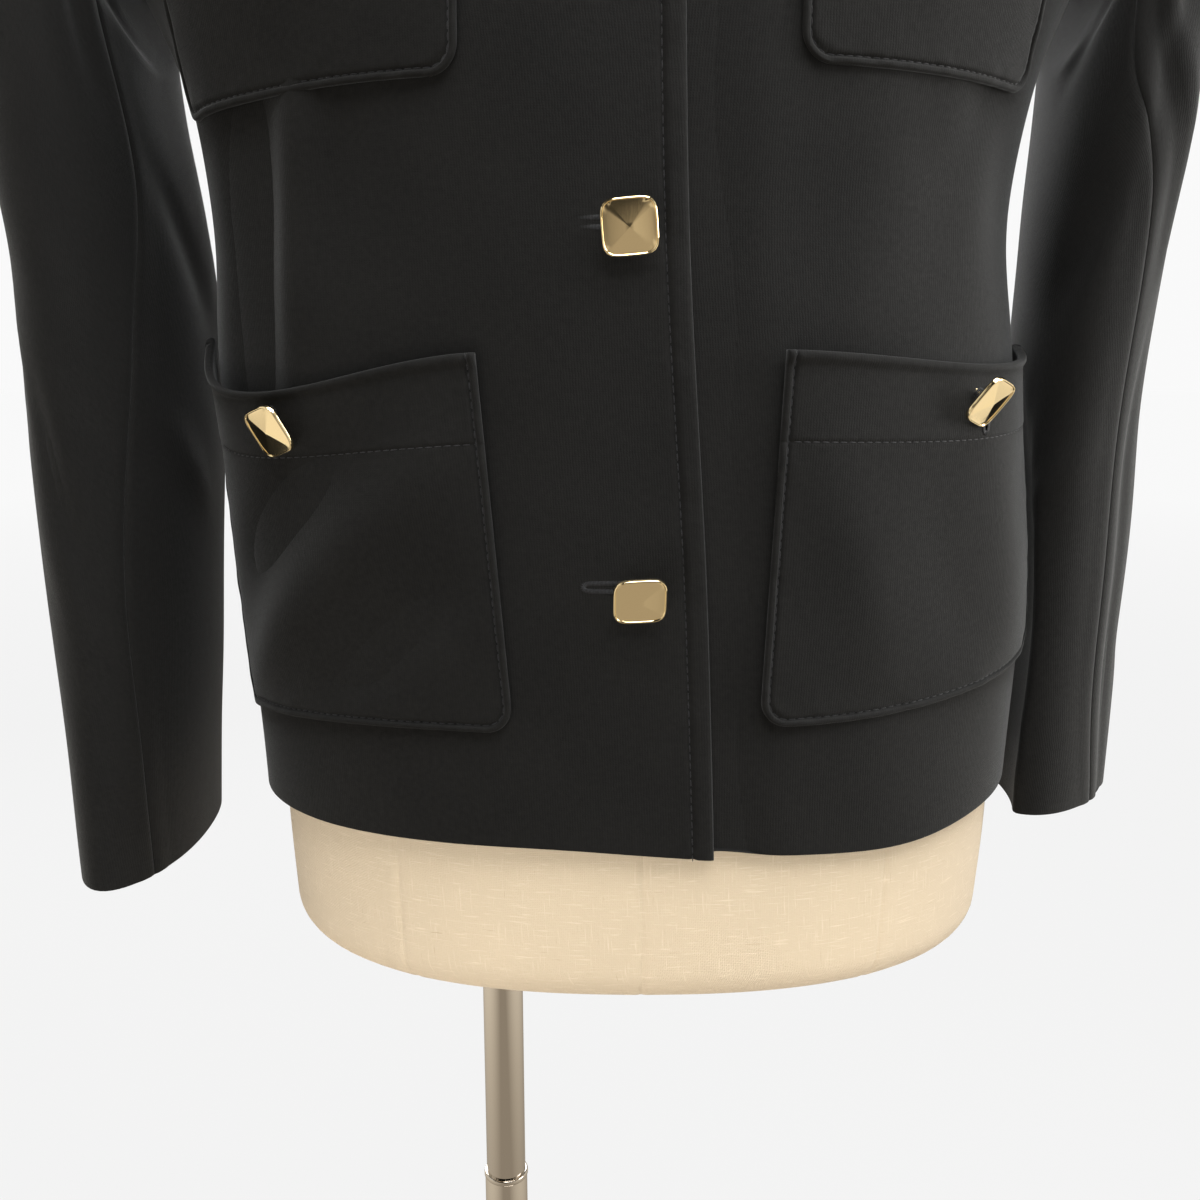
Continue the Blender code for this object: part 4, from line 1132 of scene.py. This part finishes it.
def buildFront(side, word):
    frontEdge, sideSteps = cloth["frontEdge"], cloth["seam"]
    steps = (sideSteps, frontEdge) if side == wearerRight else (frontEdge, sideSteps)
    points, normals, edges = fineGrid(frontLattices[side], *steps, cloth["hem"], cloth["seam"],
                                      cloth["spacing"])
    fromEdge = edges["end" if side == wearerRight else "start"]
    relief = stitchedEdge(fromEdge, cloth["topstitch"], cloth["welt"], cloth["sink"])
    relief += ripple(edges["low"], 3 + side, .00012) * bell(fromEdge - .006, .006)
    relief += softWaves(edges["start"], edges["low"], 10 + side, .0003) * smoothStep(fromEdge / .04)
    relief += foldRelief(points[..., 0], points[..., 2], frontFolds[side]) * smoothStep(
        np.minimum(edges["start"], edges["end"]) / .02)
    if side == wearerLeft:  # the under lap lies deeper and ends a little above the upper lap's hem
        under = 1 - smoothStep((points[..., 0] - edgeAtHeight(points[..., 2])) / lapBlend)
        relief -= lapSink * under
        points[..., 2] += .0025 * under * (1 - smoothStep(edges["low"] / .03))
    clothFaces[side] = points[..., (0, 2)], relief
    rounding = rimRounding(*edges.values())
    piece = clothShell(f"front_{word}_cloth", points, normals, relief, rounding, blackJersey,
                       clothWall)
    column = frontEdge.index(cloth["topstitch"])
    column = len(points[0]) - 1 - column if side == wearerRight else column
    line = points[2:-3, column] + normals[2:-3, column] * (relief[2:-3, column] + stitchLift)[:, None]
    seam = addStitches(f"front_{word}_topstitch", [(line, normals[2:-3, column])], topstitch)
    declareCloth(f"front_{word}")
    return piece


def buildBack():
    points, normals, edges = fineGrid(backLattice(), cloth["seam"], cloth["seam"], cloth["hem"],
                                      cloth["seam"],
                                      cloth["spacing"] * 1.1)
    relief = softWaves(edges["start"], edges["low"], 15, .0004)
    relief += foldRelief(points[..., 0], points[..., 2], backFolds) * smoothStep(
        np.minimum(edges["start"], edges["end"]) / .02)
    piece = clothShell("back_cloth", points, normals, relief, rimRounding(*edges.values()), blackJersey,
                       clothWall)
    declareCloth("back")


def buildSleeve(side, word, part, first, last):
    lattice = sleeveLattice(side, first, last)
    points, normals, edges = fineGrid(lattice, cloth["seam"], cloth["seam"], cloth["hem"], cloth["seam"],
                                      cloth["spacing"], beyond=2)
    relief = softWaves(edges["start"], edges["low"], 20 + side + first, .00025)
    relief *= smoothStep(np.minimum(edges["start"], edges["end"]) / .02)
    for fromSeam in (edges["start"], edges["end"]):  # the seam's turned-in edges lift the cloth beside it
        relief += .0005 * smoothStep(fromSeam / .003) * (1 - smoothStep((fromSeam - .006) / .005))
    fromFront = edges["end" if (side == wearerRight) == (part == "upper") else "start"]
    relief += foldRelief(fromFront, edges["low"],
                         sleeveCreases[side, part]) * smoothStep(fromFront / .012) \
        * smoothStep(edges["high"] / .03)
    if side == wearerLeft and part == "upper":
        relief -= .0018 * bell(fromFront - .017, .006)
    piece = clothShell(f"sleeve_{word}_{part}_cloth", points, normals, relief, rimRounding(*edges.values()),
                       blackJersey, clothWall)
    declareCloth(f"sleeve_{word}_{part}")


pocket = {
    "stitch": .003, "welt": .0004, "sink": .00085, "facing": .033, "facingSink": .00055,
    "mouthSwell": .0014, "mouthRim": .0015,
    "sides": (0, .0002, .0005, .0009, .0014, .002, .0024, .0027, .003, .0033, .0036, .0042, .0052, .007),
    "bottom": (0, .0002, .0005, .0009, .0014, .002, .0024, .0027, .003, .0033, .0036, .0042, .0052, .0066,
               .008,
               .0095, .011),
    "nearFacing": (-.004, -.002, -.0011, -.0005, 0, .0005, .0011, .002, .004),
    "mouth": (0, .0002, .0005, .0009, .0014, .0021, .0029, .0038, .0048, .006), "spacing": .003,
}

pocketSpan = .151  # the width that the folds of every pocket are laid out on

# The pockets' folds, by the reach from the inner edge and the rise from the bottom
pocketFolds = {
    "pocket_lower_right": (
        (.022, .105, .12, .018, .014, .0052), (.012, .062, .08, .006, .012, -.003),
        (.06, .112, .125, .052, .013, -.0036),
    ),
    "pocket_lower_left": (
        (.022, .1, .05, .015, .015, .002), (.06, .105, .088, .02, .016, -.0018),
        (.1, .095, .122, .02, .015, .0016),
    ),
    "pocket_chest_right": (
        (.03, .09, .09, .03, .015, .0014),
    ),
    "pocket_chest_left": (
        (.03, .08, .07, .03, .015, .0014),
    ),
}


def pocketRelief(name, share, rise):
    fromStitched, fromMouth = pocketEdges(name, share, rise)
    seed = list(pocketSizes).index(name)
    relief = stitchedEdge(fromStitched, pocket["stitch"], pocket["welt"], pocket["sink"], .0006)
    off = pocket["facing"] - fromMouth
    relief += .0003 * smoothStep(off / .0012 + 1) - pocket["facingSink"] * bell(off, .0006)
    relief += ripple(rise + share * pocketSpan, 40 + seed, .0001) * bell(fromStitched - .003, .005)
    relief += foldRelief(share * pocketSpan, rise, pocketFolds[name]) * smoothStep(fromStitched / .02)
    relief += pocket["mouthSwell"] * (1 - smoothStep((fromMouth - .0024) / .0032))
    rounding = np.maximum(rimRounding(fromStitched), rimRounding(fromMouth, radius=pocket["mouthRim"]))
    return relief + softWaves(share * .15, rise, 50 + seed, .00025), rounding


def buildPocket(name):
    side, width, height = pocketExtent(name)
    facing = height - pocket["facing"]
    near = facing - np.array(pocket["nearFacing"])[::-1]
    body = np.arange(pocket["bottom"][-1], near[0] - .002, pocket["spacing"])
    upper = spread(height - near[-1], (0, .002), pocket["mouth"], pocket["spacing"]) + near[-1]
    rise = np.concatenate((pocket["bottom"][:-1], body, near[:-1], upper))
    insets = cornerInset(rise)
    share = np.array([spread(width - 2 * inset, pocket["sides"], pocket["sides"], pocket["spacing"], width)
                      / (width - 2 * inset) for inset in insets])
    rise = np.repeat(rise[:, None], share.shape[1], axis=1)
    points, normals = pocketAt(name, share, rise)
    relief, rounding = pocketRelief(name, share, rise)
    if side == wearerRight:
        points, normals, relief, rounding = [grid[:, ::-1] for grid in (points, normals, relief, rounding)]
    piece = clothShell(f"{name}_cloth", points, normals, relief, rounding, blackJersey, clothWall)
    inside = pocket["stitch"]
    turns = np.linspace(0, math.pi / 2, 12)
    radius = pocketCorner - inside
    down = [(inside, level) for level in np.linspace(height - .0015, pocketCorner, 50)]
    corner = [(pocketCorner - radius * math.cos(turn),
               pocketCorner - radius * math.sin(turn)) for turn in turns]
    bottomLine = [(reach, inside) for reach in np.linspace(pocketCorner, width - pocketCorner, 50)]
    path = down + corner[1:] + bottomLine[1:]
    path += [(width - across, level) for across, level in (down + corner[1:-1])[::-1]]
    lines = []
    facingLine = [(across, facing) for across in np.linspace(inside, width - inside, 50)]
    for flat in (np.array(path), np.array(facingLine)):
        inset = cornerInset(flat[:, 1])
        across = (flat[:, 0] - inset) / (width - 2 * inset)
        base, facingWay = pocketAt(name, across, flat[:, 1])
        lines.append((base + facingWay * (pocketRelief(name, across, flat[:, 1])[0] + stitchLift)[:, None],
                      facingWay))
    seam = addStitches(f"{name}_topstitch", lines, topstitch)
    declareCloth(name)


for side, word in ((wearerRight, "right"), (wearerLeft, "left")):
    buildFront(side, word)
buildBack()
print("body cloth ready")
for side, word in ((wearerRight, "right"), (wearerLeft, "left")):
    buildSleeve(side, word, "upper", backSeam, frontSeam)
    buildSleeve(side, word, "under", frontSeam, ringColumns + backSeam)
print("sleeves ready")
for name in pocketSizes:
    buildPocket(name)
print("pockets ready")


button = {
    "rings": ((0.0, .0015, False), (.0048, .0015, False), (.0049, .006, True), (.0051, .009, True),
              (.0054, .0097, True), (.0059, .01, True), (.0066, .01, True), (.0071, .00985, True),
              (.0073, .0096, True), (.0073, .0094, True), (.0071, .0092, True), (.0069, .0091, True)),
    "settle": .0034, "facets": .009, "base": .0069, "peak": .0081, "hollow": 1.25, "around": 48,
    "rows": 8, "sharp": math.radians(24),
}


def addButton(name, seat, normal, tilt, sideways, spin, stand):
    across = np.cross((0, 0, 1), normal)
    across /= np.linalg.norm(across)
    upward = np.cross(normal, across)
    axis = normal + math.tan(sideways) * across - math.tan(tilt) * upward
    axis /= np.linalg.norm(axis)
    across = np.cross(upward, axis)
    across /= np.linalg.norm(across)
    upward = np.cross(axis, across)
    start = seat + normal * (seamGap + shankRadius * np.linalg.norm(np.cross(normal, axis)))
    turns = np.arange(button["around"]) * 2 * math.pi / button["around"]
    square = (np.abs(np.cos(turns)) ** buttonSquareness
              + np.abs(np.sin(turns)) ** buttonSquareness) ** (-1 / buttonSquareness)
    local = []
    for height, size, isSquare in button["rings"]:
        reach = size * (square if isSquare else 1)
        local.append(np.stack((reach * np.cos(turns), reach * np.sin(turns),
                               np.full(len(turns), height + (stand if height > 0 else 0))), axis=1))
    for k in np.linspace(1, .04, button["rows"]):
        x, y = k * button["facets"] * square * np.cos(turns), k * button["facets"] * square * np.sin(turns)
        slope = (1 - np.maximum(np.abs(x), np.abs(y)) / button["facets"]).clip(0) ** button["hollow"]
        local.append(np.stack((x, y, stand + button["base"] + (button["peak"] - button["base"]) * slope),
                              axis=1))
    rings = np.array(local)
    turned = np.array(((math.cos(spin), math.sin(spin), 0), (-math.sin(spin), math.cos(spin), 0),
                       (0, 0, 1)))
    points = (rings.reshape(-1, 3) @ turned) @ np.array((across, upward, axis)) + start + (0, 0, hemLevel)
    piece = addPiece(f"{name}_gold", points, ringFaces(len(rings), len(turns)), points[:, :2],
                     polishedGold)
    piece.data.set_sharp_from_angle(angle=button["sharp"])
    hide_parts(name)
    return start, axis, across, upward


# A worked buttonhole: bars of thread round a slit, on a face given by its reach across and along the slit
hole = {"halfWidth": .0016, "slitShade": .001, "lift": .00035, "wrap": .0018, "wrapHeights": (.001, .0027),
        "steps": 96, "barEnd": .0012, "aside": -.0085, "above": .0005, "front": .024, "pocket": .02,
        "right": (.003, .0015), "left": (.0085, .0085)}
holes, slitShades = [], []


def addHole(face, length, relief):
    turns = np.linspace(0, 2 * math.pi, hole["steps"] + 1)
    # the first outline carries the bars of thread; the second is a flat sheet of painted shade inside them
    for halfWidth, end, lines in ((hole["halfWidth"], 0, holes), (hole["slitShade"], hole["barEnd"], slitShades)):
        along = np.sign(np.cos(turns)) * np.abs(np.cos(turns)) ** .35 * (length / 2 - end)
        aside = np.sign(np.sin(turns)) * np.abs(np.sin(turns)) ** .8 * halfWidth
        points, normals = face(along, aside)
        lines.append((points + normals * (relief + hole["lift"]), normals))


def reliefAt(side, x, height):
    places, relief = clothFaces[side]
    away = (places[..., 0] - x) ** 2 + (places[..., 1] - height) ** 2
    return relief[np.unravel_index(away.argmin(), away.shape)]


for number, (height, *turn) in enumerate(frontButtons, start=1):
    x = edgeX(wearerRight, height) - readTable(edgeTable, height)[1]
    seat, normal = surfaceAt(frontLattices[wearerRight], *onFront(wearerRight, x, height))
    relief = reliefAt(wearerRight, x, height)
    addButton(f"button_front_{number}", seat[0] + normal[0] * relief, normal[0], *turn)
    addHole(lambda along, aside, x=x, height=height: surfaceAt(
        frontLattices[wearerRight], *onFront(wearerRight, x + hole["aside"] + along,
                                             height + hole["above"] + aside)),
            hole["front"], relief)
pocketRows = [pocketCorner * (1 - math.cos(turn)) for turn in np.linspace(0, math.pi / 2, pocketCornerRows)]
for word, (across, up, *turn, stand) in pocketButtons.items():
    name = f"pocket_lower_{word}"
    side, width, height = pocketExtent(name)
    levels = pocketRows + list(np.linspace(pocketCorner, height, pocketSideRows))[1:]
    share = 1 - across if side == wearerRight else across
    rise = np.interp(up * (len(levels) - 1), np.arange(len(levels)), levels)
    seat, normal = pocketAt(name, np.array([share]), np.array([rise]))
    relief = pocketRelief(name, np.array([share]), np.array([rise]))[0][0]
    start, axis, across, upward = addButton(f"button_pocket_{word}", seat[0] + normal[0] * relief,
                                            normal[0], *turn,
                                            stand - button["settle"])
    turns = np.linspace(0, 2 * math.pi, 25)
    outward = np.outer(np.cos(turns), across) + np.outer(np.sin(turns), upward)
    holes += [(start + axis * level + outward * hole["wrap"], outward) for level in hole["wrapHeights"]]
    share, rise = share + hole[word][0] / width, rise - hole[word][1]
    addHole(lambda along, aside, name=name, share=share, rise=rise, width=width: pocketAt(
        name, share - side * aside / width, rise + along), hole["pocket"], relief)
# flat near-black sheets paint the shade inside the buttonholes' slits
points = np.concatenate([line[:-1] for line, _ in slitShades]) + (0, 0, hemLevel)
faces = [tuple(range(first, first + hole["steps"])) for first in range(0, len(points), hole["steps"])]
addPiece("buttonhole_slit_shade", points, faces, points[:, (0, 2)], slitShadeMaterial)
addStitches("buttonholes", holes, barStitch)
print("buttons ready")


form = {"sides": 120, "step": .006, "seamWidth": .001, "seamSink": .00045, "seamSwell": .00012,
        "princess": .61, "ring": 720, "near": (0, .0005, .001, .0016, .0026, .0042)}


def formRing(height, inset):  # a dense ring from the wearer's left side round, with its lengths
    width, front, back, middle, squareness = readTable(formTable, height)
    turns = np.linspace(0, 2 * math.pi, form["ring"] + 1)
    x = (width - inset) * np.sign(np.cos(turns)) * np.abs(np.cos(turns)) ** (2 / squareness)
    depth = np.where(np.sin(turns) < 0, front, back) - inset
    y = depth * np.sign(np.sin(turns)) * np.abs(np.sin(turns)) ** (2 / squareness)
    return np.column_stack((x + middle, y)), width - inset, middle


def buildForm():
    rim, neck = formTable[0, 0], formTable[-1, 0]
    turns = np.linspace(0, math.pi / 2, 9)
    levels = [(rim + rimRadius * (1 - math.cos(turn)), rimRadius * (1 - math.sin(turn))) for turn in turns]
    top = neck - neckRounding
    levels += [(height, 0.0) for height in np.linspace(levels[-1][0], top,
                                                       int((top - levels[-1][0]) / form["step"]))[1:]]
    levels += [(neck - neckRounding * (1 - math.sin(turn)),
                neckRounding * (1 - math.cos(turn))) for turn in turns[1:]]
    rows, uvs = [], []
    for height, inset in levels:
        ring, width, middle = formRing(height, inset)
        lengths = np.concatenate(([0], np.cumsum(np.linalg.norm(np.diff(ring, axis=0), axis=1))))
        total = lengths[-1]
        quarter = [np.interp(place, np.linspace(0, 1, form["ring"] + 1), lengths)
                   for place in (0, .25, .5, .75)]
        half = form["ring"] // 2
        backX, frontX = ring[:half + 1, 0] - middle, ring[half:, 0] - middle
        princess = [np.interp(reach * width, backX[::-1], lengths[:half + 1][::-1])
                    for reach in (form["princess"], -form["princess"])]
        princess += [np.interp(reach * width, frontX, lengths[half:]) for reach in (-form["princess"],
                                                                                    form["princess"])]
        seams = sorted(quarter + princess)
        near = np.array(sorted({*form["near"], *[-step for step in form["near"]]}))
        places = []
        for here, ahead in zip(seams, seams[1:] + [total]):
            count = round(form["sides"] / len(seams))
            places += list(here + near[near >= 0])
            places += list(np.linspace(here + near[-1], ahead - near[-1], count)[1:-1])
            places += list(ahead + near[near < 0])
        places = np.array(places)
        position = np.column_stack([np.interp(places, lengths, ring[:, axis]) for axis in (0, 1)])
        way = np.gradient(position, axis=0)
        outward = np.column_stack((way[:, 1], -way[:, 0])) / np.linalg.norm(way, axis=1, keepdims=True)
        away = np.min([np.abs((places - seam + total / 2) % total - total / 2) for seam in seams], axis=0)
        relief = form["seamSwell"] * bell(away - .003, .0016) - form["seamSink"] * bell(away,
                                                                                          form["seamWidth"])
        position = position + outward * relief[:, None]
        rows.append(np.column_stack((position, np.full(len(places), height + hemLevel))))
        uvs.append(np.column_stack((places - total / 2, np.full(len(places), height))))
    rings, count = np.array(rows), len(rows[0])
    points = rings.reshape(-1, 3)
    piece = addPiece("form_cover", points, ringFaces(len(rings), count), np.concatenate(uvs), naturalLinen)
    piece.data.set_sharp_from_angle(angle=math.radians(60))
    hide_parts("form_torso")


# Turned metal, by its radius and height from the bottom up
def addTurned(name, profile, middleX, standsFor, sides=72):
    turns = np.arange(sides) * 2 * math.pi / sides
    rings = [np.column_stack((middleX + radius * np.cos(turns), radius * np.sin(turns),
                              np.full(sides, height)))
             for radius, height in profile]
    points = np.concatenate(rings)
    piece = addPiece(name, points, ringFaces(len(rings), sides), points[:, :2], chrome)
    piece.data.set_sharp_from_angle(angle=math.radians(50))
    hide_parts(standsFor)


def rounded(radius, low, high, corner, steps=5):  # the profile of a disc or tube with rounded corners
    turns = np.linspace(0, math.pi / 2, steps)
    under = [(radius - corner * (1 - math.sin(turn)),
              low + corner * (1 - math.cos(turn))) for turn in turns]
    over = [(radius - corner * (1 - math.cos(turn)),
             high - corner * (1 - math.sin(turn))) for turn in turns]
    return under + over


def buildStand():
    rimLevel = hemLevel + formTable[0, 0]
    collarLevel = rimLevel - collarDrop
    addTurned("upper_tube", rounded(upperPoleRadius, collarLevel + collarHeight + seamGap,
                                    rimLevel + socketDepth - seamGap, .0004), poleX, "pole_upper")
    addTurned("collar_ring", rounded(collarRadius, collarLevel, collarLevel + collarHeight, .0008), poleX,
              "pole_collar")
    addTurned("lower_tube", rounded(lowerPoleRadius, baseThickness + seamGap, collarLevel - seamGap,
                                    .0004), poleX,
              "pole_lower")
    addTurned("base_disc", rounded(baseRadius, 0.0, baseThickness, baseEdge, 8), 0.0, "base", 160)


buildForm()
buildStand()
print("form and stand ready")


studio = {
    "floor": 30.0, "target": (0.0, 0.0, 1.1),
    "lights": (("window", (2.0, -.25, 1.4), (.9, 1.4), 29, (1.0, .99, .97)),
               ("ceiling", (.5, -.9, 3.0), (2.2, 1.8), 98, (1.0, 1.0, .99)),
               ("front fill", (-.3, -2.3, .6), (1.3, .7), 23, (1.0, .99, .97)),
               ("low left", (-.75, -.95, .05), (.6, .3), 15, (1.0, .98, .95)),
               ("behind", (-.7, 2.4, 1.9), (2.2, 1.6), 55, (1.0, 1.0, 1.0))),
    "notMirrored": ("front fill", "low left"),
    "fill": ((0.0, (.02, .02, .02)), (.5, (.11, .11, .11)), (1.0, (.34, .335, .325))),
    "room": ((.34, (.012, .012, .012)), (.48, (.14, .128, .11)), (.6, (.46, .425, .37)),
             (.7, (.9, .87, .8))),
    "cameraSide": .33, "brightSides": .3, "backdrop": (.95, .95, .95, 1), "streaks": (8.0, 8.0, 2.5),
    "camera": (-.017, -.559, 1.06), "pitch": 78.2, "lens": 36.0,
}


def addLight(name, place, size, power, colour=(1, 1, 1)):
    lamp = bpy.data.lights.new(name, "AREA")
    lamp.shape, lamp.size, lamp.size_y, lamp.energy, lamp.color = "RECTANGLE", *size, power, colour
    made = addObject(name, lamp)
    made.visible_glossy = name not in studio["notMirrored"]
    made.location = place
    made.rotation_euler = (Vector(studio["target"]) - Vector(place)).to_track_quat("-Z", "Y").to_euler()


def buildStudio():
    reach = studio["floor"]
    mesh = bpy.data.meshes.new("floor")
    mesh.from_pydata([(-reach, -reach, 0), (reach, -reach, 0), (reach, reach, 0), (-reach, reach, 0)], [],
                     [(0, 1, 2, 3)])
    mesh.materials.append(floorMaterial())
    floor = addObject("floor", mesh)
    for name, place, size, power, colour in studio["lights"]:
        addLight(name, place, size, power, colour)
    world = bpy.data.worlds.new("studio")
    bpy.context.scene.world = world
    world.use_nodes = True
    graph = Graph(world.node_tree)
    back = world.node_tree.nodes["Background"]
    way = graph.add("ShaderNodeTexCoord").outputs["Generated"]
    x, y, _ = graph.split(way)
    fill = graph.ramp(graph.levels(x, -1, 1), studio["fill"])
    streaks = graph.noise(graph.stretch(way, studio["streaks"]), 1.0, 3.0, .55)
    behind = graph.levels(y, -1.0, -.3, studio["cameraSide"], 0.0)
    sides = graph.levels(graph.maths("ABSOLUTE", x), .45, .95, 0.0, studio["brightSides"])
    room = graph.ramp(graph.maths("ADD", graph.maths("SUBTRACT", streaks, behind), sides), studio["room"])
    rays = graph.add("ShaderNodeLightPath").outputs

    seen = graph.mixed(rays["Is Glossy Ray"], fill, room)
    graph.feed(back.inputs["Color"], graph.mixed(rays["Is Camera Ray"], seen, studio["backdrop"]))
    lens = bpy.data.cameras.new("camera")
    lens.lens = lens.sensor_width = studio["lens"]
    camera = addObject("camera", lens)
    camera.location, camera.rotation_euler = studio["camera"], (math.radians(studio["pitch"]), 0, 0)
    bpy.context.scene.camera = camera
    bpy.context.scene.view_settings.view_transform = "Standard"


buildStudio()
